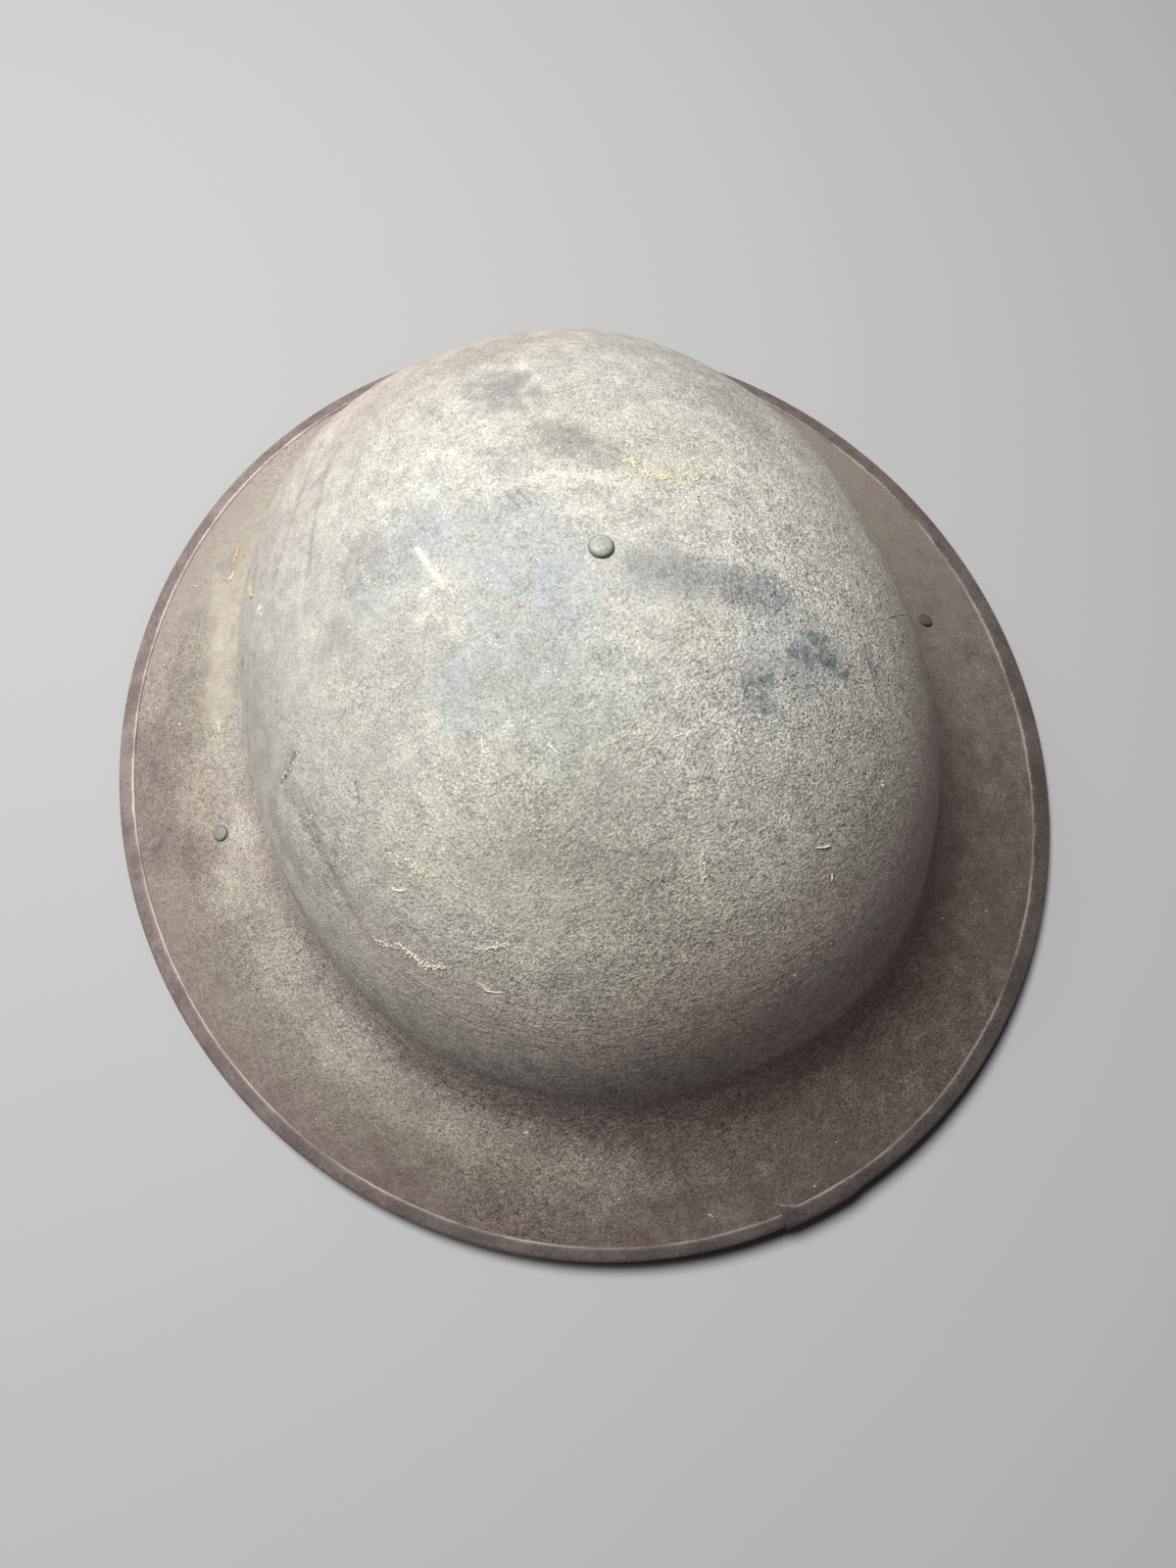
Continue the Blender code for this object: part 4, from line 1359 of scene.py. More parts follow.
    def scratched(self, bench: PaintBench, wobble: Socket) -> tuple[Any, Any, Any]:
        """Return the scratches.

        Args:
            bench: The bench that adds the nodes.
            wobble: A pattern around 0 that frays the edges.

        Returns:
            The dark share, the pale share and the depth as a share of the bump's height.
        """
        layers = []
        for layer in SCRATCH_LAYERS:
            line = bench.attribute(f"scratch_{layer}", "Vector")
            away = bench.length(bench.flattened(line))
            inside = bench.ramp(bench.sum(away, wobble), 0.2, 1.3, 1.0, 0.0)
            marked = bench.times(inside, bench.attribute(f"scratch_grime_{layer}"))
            sunk = bench.times(inside, bench.times(bench.parts(line)[2], MM / self.grain_depth))
            layers.append((bench.limited(marked), bench.times(marked, -1.0, clamp=True), sunk))
        return tuple(bench.sum(*parts) for parts in zip(*layers))

    def domes(self, bench: PaintBench) -> Socket:
        """Return the height of close-packed round grains.

        Args:
            bench: The bench that adds the nodes.

        Returns:
            The height, 1 in the middle of a grain.
        """
        stirred = bench.vector("ADD", bench.place, bench.scaled(bench.stir(bench.place, 700.0), 0.0010))
        cells = bench.add("ShaderNodeTexVoronoi", {
            "Vector": stirred, "Scale": self.cell_scale}).outputs["Distance"]
        return bench.less(1.0, bench.times(cells, cells))

    def dots(self, bench: PaintBench, scale: float, radius: float, rarity: float) -> Socket:
        """Return small round dots.

        Args:
            bench: The bench that adds the nodes.
            scale: How many cells there are in a metre.
            radius: A dot's radius as a share of its cell.
            rarity: The share of cells that stay empty.

        Returns:
            1 inside a dot, 0 outside.
        """
        cells = bench.add("ShaderNodeTexVoronoi", {"Vector": bench.place, "Scale": scale})
        pick = bench.add("ShaderNodeSeparateColor", {0: cells.outputs["Color"]}).outputs[0]
        inside = bench.ramp(cells.outputs["Distance"], radius * 0.6, radius * 1.2, 1.0, 0.0)
        return bench.times(inside, bench.math("GREATER_THAN", pick, rarity))


@dataclass(frozen=True)
class InnerPaint:
    """Smoother paint inside the bowl and under the brim, rubbed and spotted with rust."""

    name: str = "inner_drab_paint"
    body: Colour = (0.120, 0.112, 0.092)
    worn: Colour = (0.075, 0.066, 0.056)
    rust: Colour = (0.150, 0.072, 0.038)
    depth: float = 0.00012

    def make(self) -> Material:
        """Return the material.

        Returns:
            The finished material.
        """
        bench = PaintBench(self.name)
        mottle = bench.noise(bench.place, 60, 5, 0.6)
        speckle = bench.noise(bench.place, 380, 4, 0.65)
        colour = bench.blend(bench.ramp(mottle, 0.35, 0.65), self.worn, self.body)
        spots = bench.sum(speckle, bench.swing(mottle, -0.5))
        colour = bench.blend(bench.ramp(spots, 0.58, 0.70, 0.0, 0.8), colour, self.rust)
        return bench.finish(colour, bench.ramp(speckle, 0.3, 0.7, 0.62, 0.9), speckle, self.depth)


@dataclass(frozen=True)
class RimPaint:
    """Dark worn paint on the folded strip, reddish partly as painted reflected light and darker at the near
    right as painted shade, rubbed pale along its inner edge, partly a painted highlight where the lip catches
    light.
    """

    name: str = "worn_rim_paint"
    dark: Colour = (0.138, 0.104, 0.095)
    body: Colour = (0.246, 0.192, 0.176)
    pale: Colour = (0.560, 0.480, 0.390)
    depth: float = 0.00012

    def make(self) -> Material:
        """Return the material.

        Returns:
            The finished material.
        """
        bench = PaintBench(self.name)
        mottle = bench.noise(bench.place, 90, 6, 0.66)
        grain = bench.noise(bench.place, 1100, 3, 0.6)
        tone = bench.sum(0.5, bench.swing(mottle, 1.5), bench.swing(grain, 0.9))
        colour = bench.blend(bench.ramp(tone, 0.25, 0.80), self.dark, self.body)
        grime_and_shade = bench.attribute("grime_and_shade")
        worn = bench.sum(bench.attribute("across"), bench.swing(mottle, 0.36), bench.swing(grain, 0.20),
                         bench.times(grime_and_shade, -0.07))
        kept = bench.ramp(bench.noise(bench.place, 30, 4, 0.6), 0.36, 0.60, 0.20, 0.95)
        # Pale inner edge: worn paint and a painted highlight on the lip.
        colour = bench.blend(bench.times(bench.ramp(worn, 0.81, 0.93), kept), colour, self.pale)
        # Darker with grime and painted shade.
        colour = bench.scaled(colour, bench.sum(1.36, bench.times(grime_and_shade, -1.05)))
        height = bench.sum(grain, bench.times(mottle, 0.8))
        return bench.finish(colour, bench.ramp(grain, 0.3, 0.7, 0.5, 0.8), height, self.depth)


@dataclass(frozen=True)
class RivetPaint:
    """Dark paint on a rivet, rubbed on the dome, and darker round its edge as painted shade."""

    name: str
    dark: Colour = (0.170, 0.165, 0.148)
    body: Colour = (0.310, 0.305, 0.275)
    depth: float = 0.0002

    def make(self) -> Material:
        """Return the material.

        Returns:
            The finished material.
        """
        bench = PaintBench(self.name)
        mottle = bench.noise(bench.place, 900, 4, 0.6)
        # Painted shade round the head's edge.
        edge_shade = bench.sum(bench.attribute("off_centre"), bench.swing(mottle, 0.5))
        colour = bench.blend(bench.ramp(edge_shade, 0.72, 1.02), self.body, self.dark)
        colour = bench.scaled(colour, bench.sum(1.0, bench.swing(mottle, 1.5)))
        return bench.finish(colour, bench.ramp(mottle, 0.3, 0.7, 0.7, 0.5), mottle, self.depth)


@dataclass(frozen=True)
class CrustPaint:
    """Dried crust and threads, tinted from white over straw to rust."""

    name: str = "dried_crust"
    white: Colour = (0.660, 0.640, 0.570)
    straw: Colour = (0.560, 0.505, 0.320)
    rust: Colour = (0.370, 0.275, 0.190)
    depth: float = 0.0001

    def make(self) -> Material:
        """Return the material.

        Returns:
            The finished material.
        """
        bench = PaintBench(self.name)
        tint = bench.attribute("tint")
        mottle = bench.noise(bench.place, 900, 3, 0.6)
        colour = bench.blend(bench.share(tint, 0.0, 0.5), self.white, self.straw)
        colour = bench.blend(bench.share(tint, 0.5, 1.0), colour, self.rust)
        colour = bench.scaled(colour, bench.sum(1.0, bench.swing(mottle, 1.2)))
        return bench.finish(colour, bench.ramp(mottle, 0.3, 0.7, 0.75, 0.95), mottle, self.depth)


def placed(name: str, data: bpy.types.ID) -> Piece:
    """Return a new object that is linked to the scene.

    Args:
        name: The object's name.
        data: Its mesh, light or camera.

    Returns:
        The object.
    """
    piece = bpy.data.objects.new(name, data)
    bpy.context.scene.collection.objects.link(piece)
    return piece


def smoothed(name: str, mesh: bpy.types.Mesh, sharp_angle: float) -> Piece:
    """Return a smooth-shaded object, whose edges stay sharp where they bend by more degrees than this.

    Args:
        name: The object's name.
        mesh: Its mesh.
        sharp_angle: The bend above which an edge stays sharp.

    Returns:
        The object.
    """
    mesh.shade_smooth()
    mesh.set_sharp_from_angle(angle=math.radians(sharp_angle))
    return placed(name, mesh)


def piece_from(name: str, points: Array, faces: Sequence[Face], materials: Iterable[Material]) -> Piece:
    """Make a smooth-shaded mesh object at the origin.

    Args:
        name: The piece's name.
        points: Its vertices, one a row.
        faces: Its faces as indices into points.
        materials: Its material slots.

    Returns:
        The object, linked to the scene.
    """
    mesh = bpy.data.meshes.new(name)
    mesh.from_pydata(points.tolist(), [], faces)
    for material in materials:
        mesh.materials.append(material)
    return smoothed(name, mesh, SHARP_ANGLE)


def set_numbers(mesh: bpy.types.Mesh, name: str, values: Array) -> None:
    """Store a number, a vector or a colour for each vertex, one a row.

    Args:
        mesh: The mesh.
        name: The attribute's name.
        values: One number, three or four for each vertex.
    """
    values = np.asarray(values, dtype=np.float32)
    kinds = {1: ("FLOAT", "value"), 3: ("FLOAT_VECTOR", "vector"), 4: ("FLOAT_COLOR", "color")}
    kind, slot = kinds[values.size // len(values)]
    mesh.attributes.new(name, kind, "POINT").data.foreach_set(slot, values.ravel())


def polyline(name: str, lines: Iterable[Iterable[Any]], numbers: Mapping[str, Any],
             closed: bool = False) -> Piece:
    """Make an object of edges alone, for a node tree.

    Args:
        name: The object's name.
        lines: The points of each line.
        numbers: Numbers or vectors to store on the points, one a row.
        closed: Join the last point to the first.

    Returns:
        The object.
    """
    points: list[Any] = []
    edges: list[tuple[int, int]] = []
    for line in lines:
        first = len(points)
        points += [tuple(point) for point in line]
        edges += [(i, i + 1) for i in range(first, len(points) - 1)]
    mesh = bpy.data.meshes.new(name)
    mesh.from_pydata(points, edges + [(len(points) - 1, 0)] if closed else edges, [])
    for label, values in numbers.items():
        set_numbers(mesh, label, values)
    return placed(name, mesh)


def stitch(inner: int, inner_first: int, outer: int, outer_first: int, flip: bool = False) -> list[Face]:
    """Join two rings of vertices that start at the same turn with a strip of triangles.

    Args:
        inner: How many vertices the ring nearer the crown has.
        inner_first: Index of its first vertex.
        outer: How many vertices the other ring has.
        outer_first: Index of its first vertex.
        flip: Turn the faces over.

    Returns:
        The triangles.
    """
    faces: list[Face] = []
    i = j = 0
    while i < inner or j < outer:
        a, b = inner_first + i % inner, outer_first + j % outer
        if j < outer and (i == inner or (j + 1) * inner <= (i + 1) * outer):
            j += 1
            face = (a, b, outer_first + j % outer)
        else:
            i += 1
            face = (a, b, inner_first + i % inner)
        faces.append(face[::-1] if flip else face)
    return faces


def distance_to_line(points: Array, start: Array, end: Array) -> Array:
    """Return how far each point is from the line between two points.

    Args:
        points: The points, one a row.
        start: The line's start.
        end: The line's end.

    Returns:
        One distance a point.
    """
    along = end - start
    length = float(along @ along)
    t = np.clip((points - start) @ along / length, 0, 1) if length > 0 else np.zeros(len(points))
    return np.linalg.norm(points - start - t[:, None] * along, axis=1)


def noise_at(points: Array, size: float, octaves: int = 1, seed: float = 0.0) -> Array:
    """Return smooth noise between about -1 and 1.

    Args:
        points: Where to read it, one point a row.
        size: The width of its lumps, in metres.
        octaves: How many finer layers it has.
        seed: An offset that gives another pattern.

    Returns:
        One number a point.
    """
    shifted = (points / size + seed).tolist()
    if octaves == 1:
        return np.array([noise.noise(point) for point in shifted])
    return np.array([noise.fractal(point, 1.0, 2.0, octaves) for point in shifted])


def weave(counts: Sequence[int], first: int = 0, flip: bool = False) -> list[Face]:
    """Return the triangles that close a crown and join ring after ring.

    Args:
        counts: How many vertices each ring has, the smallest ring first.
        first: Index of the crown's vertex.
        flip: Turn the faces over.

    Returns:
        The triangles.
    """
    faces = [(first, first + 1 + i, first + 1 + (i + 1) % counts[0]) for i in range(counts[0])]
    faces = [face[::-1] for face in faces] if flip else faces
    start = first + 1
    for inner, outer in zip(counts, counts[1:]):
        faces += stitch(inner, start, outer, start + inner, flip)
        start += inner
    return faces


@dataclass(frozen=True)
class Skin:
    """A face of the shell: its vertices' turns, travels, places and normals, and the rings' counts."""

    turn: Array
    travel: Array
    points: Array
    normals: Array
    counts: Sequence[int]


@dataclass
class HelmetShell:
    """The pressed bowl and brim: a fine outer face with its relief, and the inner face."""

    form: Form
    marks: tuple[tuple[Tone, tuple[Mark, ...]], ...] = MARKS
    ridges: tuple[Ridge, ...] = RIDGES
    scratches: tuple[Scratch, ...] = SCRATCHES
    spacing: float = 0.00132
    inner_spacing: float = 0.0040
    soiling: SoilingAndShade = SoilingAndShade()
    bowl_length: float = 0.160
    fillet_length: float = 0.014
    brim_length: float = 0.034
    scratch_margin: float = 3.0

    def rings(self, spacing: float) -> tuple[list[float], list[int]]:
        """Return the travel of each ring and how many vertices it has.

        Args:
            spacing: How far apart the vertices are, in metres.

        Returns:
            The travels and the counts, from the crown outwards.
        """
        travels: list[float] = []
        for zone, length in enumerate((self.bowl_length, self.fillet_length, self.brim_length)):
            steps = max(2, round(length / (spacing * 0.9)))
            travels += [zone + (i + 1) / steps for i in range(steps)]
        counts = []
        for travel in travels:
            turn = np.linspace(-math.pi, math.pi, 65)
            ring = self.form.face(turn, np.full_like(turn, travel))
            round_it = np.linalg.norm(np.diff(ring, axis=0), axis=1).sum()
            counts.append(max(6, round(round_it / spacing)))
        return travels, counts

    def skin(self, spacing: float) -> Skin:
        """Return the outer face with its vertices about this far apart, the crown first.

        Args:
            spacing: How far apart the vertices are, in metres.

        Returns:
            The face.
        """
        travels, counts = self.rings(spacing)
        turn = np.concatenate([[0.0]] + [np.arange(n) * math.tau / n - math.pi for n in counts])
        travel = np.concatenate([[0.0]] + [np.full(n, t) for n, t in zip(counts, travels)])
        points, normals = self.form.face(turn, travel), self.form.outward(turn, travel)
        points[0], normals[0] = (0, 0, self.form.height + self.form.stand), (0, 0, 1)
        return Skin(turn, travel, points, normals, counts)

    def relief(self, points: Array) -> Array:
        """Return how far each point of the outer face stands proud: fine waves, and the ridges.

        Args:
            points: The face's vertices, one a row.

        Returns:
            One height a vertex, in metres.
        """
        high = 0.00007 * noise_at(points, 0.009, 2, 3.1) + 0.00004 * noise_at(points, 0.0034, 2, 7.7)
        for ridge in self.ridges:
            line = self.form.lifted(ridge.line)
            away = np.min([distance_to_line(points, a, b) for a, b in zip(line, line[1:])], axis=0)
            near = away < ridge.width * 3 * MM
            broken = 0.55 + 0.6 * noise_at(points[near], 0.0022, 1, 11.0)
            bell = np.exp(-(away[near] / (ridge.width * MM)) ** 2)
            high[near] += ridge.height * MM * bell * broken
        return high

    def marked(self, points: Array, ground: Mapping[Tone, Array]) -> dict[str, Array]:
        """Return the mesh attributes that hold the paint's tones, one colour a vertex.

        Args:
            points: The vertices, one a row.
            ground: How much there is of some tones before the marks are made.

        Returns:
            The attributes by name.
        """
        layers = {tone.value[0]: np.tile((0.0, 0.0, 0.0, 1.0), (len(points), 1)) for tone in Tone}
        for tone, amount in ground.items():
            layers[tone.value[0]][:, tone.value[1]] = amount
        for tone, marks in self.marks:
            layer = layers[tone.value[0]][:, tone.value[1]]
            for mark in marks:
                line = self.form.lifted(mark.line)
                for start, end in zip(line, line[1:] or line):
                    away = distance_to_line(points, start, end) / (mark.radius * MM)
                    near = away < 2.2
                    ragged = mark.ragged * noise_at(points[near], mark.grain * MM, 3, mark.radius)
                    share = np.clip((1 + mark.softness / 2 - away[near] + ragged) / mark.softness, 0, 1)
                    share = abs(mark.strength) * share * share * (3 - 2 * share)
                    if mark.strength > 0:
                        layer[near] = 1 - (1 - layer[near]) * (1 - share)
                    else:
                        layer[near] *= 1 - share
        return layers

    def line_offset(self, line: Sequence[Point], points: Array, normals: Array) -> tuple[Array, Array]:
        """Return how far points lie to the side of a line, and how far beyond its ends, in millimetres.

        Both change evenly from vertex to vertex, so that a paint can draw a line finer than the mesh.

        Args:
            line: The line's points.
            points: The vertices, one a row.
            normals: The face's normals there.

        Returns:
            The offsets sideways, above 0 on the left, and the offsets beyond the nearer end, else 0.
        """
        corners = np.array(line) + (0, 0, self.form.stand / MM)
        nearest = np.full(len(points), np.inf)
        side, beyond = np.zeros(len(points)), np.zeros(len(points))
        for i, (start, end) in enumerate(zip(corners, corners[1:])):
            long = float(np.linalg.norm(end - start))
            along = (end - start) / long
            offset = points / MM - start
            forward = offset @ along
            left = (offset * np.cross(normals, along)).sum(1)
            over = np.maximum(0, np.maximum(-forward, forward - long))
            away = np.hypot(left, over)
            at_end = ((forward < 0) & (i == 0)) | ((forward > long) & (i == len(corners) - 2))
            closer = away < nearest
            nearest[closer] = away[closer]
            side[closer] = np.where(at_end, left, np.copysign(away, left))[closer]
            beyond[closer] = np.where(at_end, over, 0)[closer]
        return side, beyond

    def scratched(self, points: Array, normals: Array) -> dict[str, Array]:
        """Return the mesh attributes that place the scratches.

        Args:
            points: The vertices, one a row.
            normals: The face's normals there.

        Returns:
            For each layer the offsets and the depth, and the grime.
        """
        attributes: dict[str, Array] = {}
        for layer in SCRATCH_LAYERS:
            lines, grime_and_shade = np.full((len(points), 3), (9.0, 9.0, 0.0)), np.zeros(len(points))
            for scratch in self.scratches:
                if scratch.layer == layer:
                    side, beyond = self.line_offset(scratch.line, points, normals)
                    near = np.hypot(side, beyond) < scratch.width + self.scratch_margin
                    scale = 2 / scratch.width
                    here = np.stack((side * scale, beyond * scale, np.full_like(side, scratch.depth)), 1)
                    lines[near], grime_and_shade[near] = here[near], scratch.grime_and_shade
            attributes[f"scratch_{layer}"] = lines
            attributes[f"scratch_grime_{layer}"] = grime_and_shade
        return attributes

    def dressing(self, skin: Skin, points: Array) -> dict[str, Array]:
        """Return all that the paint and the debris need to know of the outer face.

        Args:
            skin: The smooth face.
            points: Its vertices with their relief.

        Returns:
            The mesh attributes by name, one row a vertex.
        """
        above = points[:, 2] - self.form.stand
        height = np.clip(above / self.form.height, 0, 1)
        dust = 0.05 + 0.80 * height ** 1.5 * np.clip(skin.normals[:, 2], 0, 1)
        soiling, turn, travel = self.soiling, skin.turn, skin.travel
        # The ground tones hold painted shade at the foot and the near side, and partly painted reddish
        # reflected light.
        ground = {Tone.DUST: np.clip(dust, 0, 1), Tone.BROWN: soiling.brown(turn, travel, above / MM),
                  Tone.PLUM: soiling.plum(turn, travel, above / MM), Tone.OLIVE: soiling.olive(travel),
                  Tone.SHADE: soiling.shade(turn, travel)}
        clouds = 0.5 + 0.9 * np.clip(noise_at(points, 0.02, 2, 5.5), -0.5, 1)
        specks = (0.12 + 0.88 * np.sin(math.pi * height)) * clouds
        return {"specks": specks, **self.marked(points, ground), **self.scratched(points, skin.normals)}

    def build(self, outer_paint: Material, inner_paint: Material) -> Piece:
        """Make the shell.

        Args:
            outer_paint: Finish of the outer face.
            inner_paint: Finish of the inner face.

        Returns:
            The shell, riding on the helmet's body in place of its CAD node.
        """
        skin, lining = self.skin(self.spacing), self.skin(self.inner_spacing)
        outer = skin.points + skin.normals * self.relief(skin.points)[:, None]
        inner = lining.points - lining.normals * self.form.steel
        first, last, last_in = len(outer), skin.counts[-1], lining.counts[-1]
        faces = weave(skin.counts) + stitch(last, first - last, last_in, first + len(inner) - last_in)
        inner_faces = weave(lining.counts, first, flip=True)
        piece = piece_from("pressed_shell", np.concatenate((outer, inner)), faces + inner_faces,
                           (outer_paint, inner_paint))
        index = np.repeat((0, 1), (len(faces), len(inner_faces))).astype(np.int32)
        piece.data.polygons.foreach_set("material_index", index)
        for name, values in self.dressing(skin, outer).items():
            blank = np.zeros((len(inner), *values.shape[1:]))
            set_numbers(piece.data, name, np.concatenate((values, blank)))
        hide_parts("helmet_shell")
        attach(piece, "root")
        return piece


@dataclass
class RimEdging:
    """The strip folded over the brim's edge, its upper end lapped over its lower one.

    Laps gives the strip's width on the brim, in millimetres, at turns in degrees. The tree works with
    the width lap, and what the laps have more or less than that is added to it.
    """

    form: Form
    soiling: SoilingAndShade = SoilingAndShade()
    lap: float = 0.0058
    laps: tuple[tuple[float, float], ...] = (
        (-180, 5.8), (-120, 4.6), (-90, 4.0), (-55, 5.6), (-20, 7.4), (40, 7.8), (90, 7.6), (135, 6.6),
        (180, 5.8))
    joint_turn: float = math.radians(-88.2)
    joint_overlap: float = math.radians(8.0)
    joint_ramp: float = math.radians(1.6)
    joint_proud: float = 0.0006
    flare: float = 0.0026
    flare_length: float = math.radians(1.9)
    joint_clearance: float = 0.00004
    steps: int = 900
    round_steps: int = 12
    lap_shares: tuple[float, ...] = (1.0, 0.97, 0.93, 0.88, 0.80, 0.65, 0.45, 0.20)
    tuck: float = 0.00042
    tuck_under: float = 0.00024
    waviness: float = 0.00060
    wave_scale: float = 90.0
    left_wear: float = 0.18

    def path(self) -> Piece:
        """Return the brim's edge as a line that carries its directions out and up and the joint's lift.

        Returns:
            The line as an object of edges alone.
        """
        span = math.tau + self.joint_overlap
        turn = self.joint_turn + span * np.arange(self.steps) / (self.steps - 1)
        wrapped = (turn + math.pi) % math.tau - math.pi
        foot, rim = self.form.brim_line(wrapped)
        out = (rim - foot) / np.linalg.norm(rim - foot, axis=1, keepdims=True)
        along = np.stack((-self.form.rim_half_width * np.sin(turn), self.form.rim_half_length * np.cos(turn),
                          np.zeros_like(turn)), axis=1)
        up = np.cross(out, along)
        up /= np.linalg.norm(up, axis=1, keepdims=True)
        middle = rim - up * (self.form.steel / 2) + np.array((0, 0, self.form.stand))
        past = turn - self.joint_turn
        # The strip darkens with the brim's soil and painted shade, less at the left.
        cleaned = self.left_wear * np.maximum(0, -np.cos(turn))
        return polyline("rim_path", [middle.tolist()], {
            "out": out, "up": up,
            "widening": np.interp(np.degrees(wrapped), *zip(*self.laps)) * MM - self.lap,
            "rise": np.clip((self.joint_overlap + self.joint_ramp - past) / self.joint_ramp, 0, 1),
            "flare": np.clip(1 - past / self.flare_length, 0, 1),
            "grime_and_shade": self.soiling.brim(turn, 0.8) - cleaned})

    def section(self) -> Piece:
        """Return the fold's section: x is out and y is up from the middle of the sheet's edge.

        Each of its points also has the way it is lifted at the joint, and how far it takes part in the
        changes of the lap's width.

        Returns:
            The section as an object of edges alone.
        """
        slot = self.form.steel / 2 + self.form.gap
        radius = slot + self.form.strip
        rows = [(-radius - (self.lap - radius) * share, radius - self.tuck * share ** 8, 0, 1, share)
                for share in self.lap_shares]
        for i in range(self.round_steps + 1):
            angle = math.pi / 2 - math.pi * i / self.round_steps
            across, up = math.cos(angle), math.sin(angle)
            rows.append((radius * across - radius, radius * up, across, up, 0.0))
        for x, y, weight in ((-self.lap, -radius, -1.0), (-self.lap, -slot, -1.0), (-radius, -slot, 0.0),
                             (-self.form.strip, 0.0, 0.0), (-radius, slot, 0.0),
                             (-self.lap, slot - self.tuck_under, 1.0)):
            rows.append((x, y, 0, math.copysign(1, y) if y else 0, weight))
        return polyline("fold_section", [[(x, y, 0) for x, y, *_ in rows]], {
            "lift": [(x, y, 0) for *_, x, y, _ in rows], "reach": [row[-1] for row in rows]}, closed=True)

    @staticmethod
    def tree() -> Tree:
        """Return the node tree that lays the section along the path.

        Returns:
            The tree.
        """
        bench = ShapeBench("fold_strip_over_rim", {
            "Path": "Geometry", "Section": "Object", "Joint thickness": "Float", "Joint proud": "Float",
            "Flare": "Float", "Waviness": "Float", "Wave size": "Float", "Paint": "Material"})
        given = bench.given
        section = bench.add("GeometryNodeObjectInfo", {"Object": given["Section"]}).outputs["Geometry"]
        curves = [bench.add("GeometryNodeMeshToCurve", {
            "Mesh": bench.stored(line, name, bench.here, "FLOAT_VECTOR")}).outputs[0]
            for line, name in ((given["Path"], "place"), (section, "spot"))]
        swept = bench.swept(*curves)

        place, out, up, spot, lift = (bench.field(name, "FLOAT_VECTOR")
                                      for name in ("place", "out", "up", "spot", "lift"))
        widening, rise, reach, flare = (bench.field(name) for name in ("widening", "rise", "reach", "flare"))
        wave = bench.swing(bench.noise(place, given["Wave size"], 5, 0.66), given["Waviness"])
        proud = bench.sum(bench.times(rise, given["Joint proud"]), bench.times(flare, given["Flare"]))
        inward = bench.sum(bench.times(widening, reach),
                           bench.times(proud, bench.math("MAXIMUM", reach, 0.0)),
                           bench.times(wave, bench.math("ABSOLUTE", reach)))
        raised = bench.scaled(lift, bench.times(rise, given["Joint thickness"]))
        x, y, _ = bench.parts(bench.vector("ADD", spot, raised))
        offset = bench.vector("ADD", bench.scaled(out, bench.less(x, inward)), bench.scaled(up, y))
        laid = bench.moved(swept, Position=bench.vector("ADD", place, offset))
        return bench.finish(bench.real(bench.stored(laid, "across", reach)))

    def build(self, paint: Material) -> Piece:
        """Make the edging.

        Args:
            paint: Its finish.

        Returns:
            The edging, riding on the helmet's body in place of its CAD node.
        """
        section = self.section()
        piece = grown(self.path(), self.tree(), "folded_rim_edging", EDGING_SHARP_ANGLE, {
            "Section": section, "Joint thickness": self.form.strip + self.joint_clearance,
            "Joint proud": self.joint_proud, "Flare": self.flare, "Waviness": self.waviness,
            "Wave size": self.wave_scale, "Paint": paint})
        bpy.data.objects.remove(section)
        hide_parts("rim_edging")
        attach(piece, "root")
        return piece


def grown(carrier: Piece, tree: Tree, name: str, sharp_angle: float, inputs: Mapping[str, Any]) -> Piece:
    """Run a Geometry Nodes tree on an object and keep the result as a plain mesh.

    Args:
        carrier: The object whose geometry the tree works on. It is removed.
        tree: The node tree.
        name: The new piece's name.
        sharp_angle: Edges that bend by more degrees than this stay sharp.
        inputs: The tree's inputs by name.

    Returns:
        The new piece.
    """
    modifier = carrier.modifiers.new(tree.name, "NODES")
    modifier.node_group = tree
    for item in tree.interface.items_tree:
        if item.in_out == "INPUT" and item.name in inputs:
            modifier[item.identifier] = inputs[item.name]
    bpy.context.view_layer.update()
    graph = bpy.context.evaluated_depsgraph_get()
    mesh = bpy.data.meshes.new_from_object(carrier.evaluated_get(graph), depsgraph=graph)
    mesh.name = name
    carrier.modifiers.clear()
    bpy.data.objects.remove(carrier)
    return smoothed(name, mesh, sharp_angle)


@dataclass(frozen=True)
class RivetSize:
    """A rivet's node, its place in plan and its sizes."""

    node: str
    x: float
    y: float
    head_radius: float
    head_height: float
    shank_radius: float
    set_radius: float
    set_height: float
    paint: RivetPaint


RIVETS = (
    RivetSize(node="crown_rivet", x=0.0021, y=-0.0049, head_radius=0.0030, head_height=0.0014,
              shank_radius=0.0018, set_radius=0.0045, set_height=0.0010,
              paint=RivetPaint("rubbed_rivet_paint")),
    RivetSize(node="brim_rivet_left", x=-0.1140, y=-0.0005, head_radius=0.0024, head_height=0.0009,
              shank_radius=0.0014, set_radius=0.0030, set_height=0.0008,
              paint=RivetPaint("grimy_rivet_paint", dark=(0.105, 0.105, 0.090), body=(0.190, 0.195, 0.168))),
    RivetSize(node="brim_rivet_right", x=0.1171, y=-0.0012, head_radius=0.0024, head_height=0.0009,
              shank_radius=0.0014, set_radius=0.0030, set_height=0.0008,
              paint=RivetPaint("dark_rivet_paint", dark=(0.034, 0.031, 0.028), body=(0.070, 0.065, 0.059))),
)


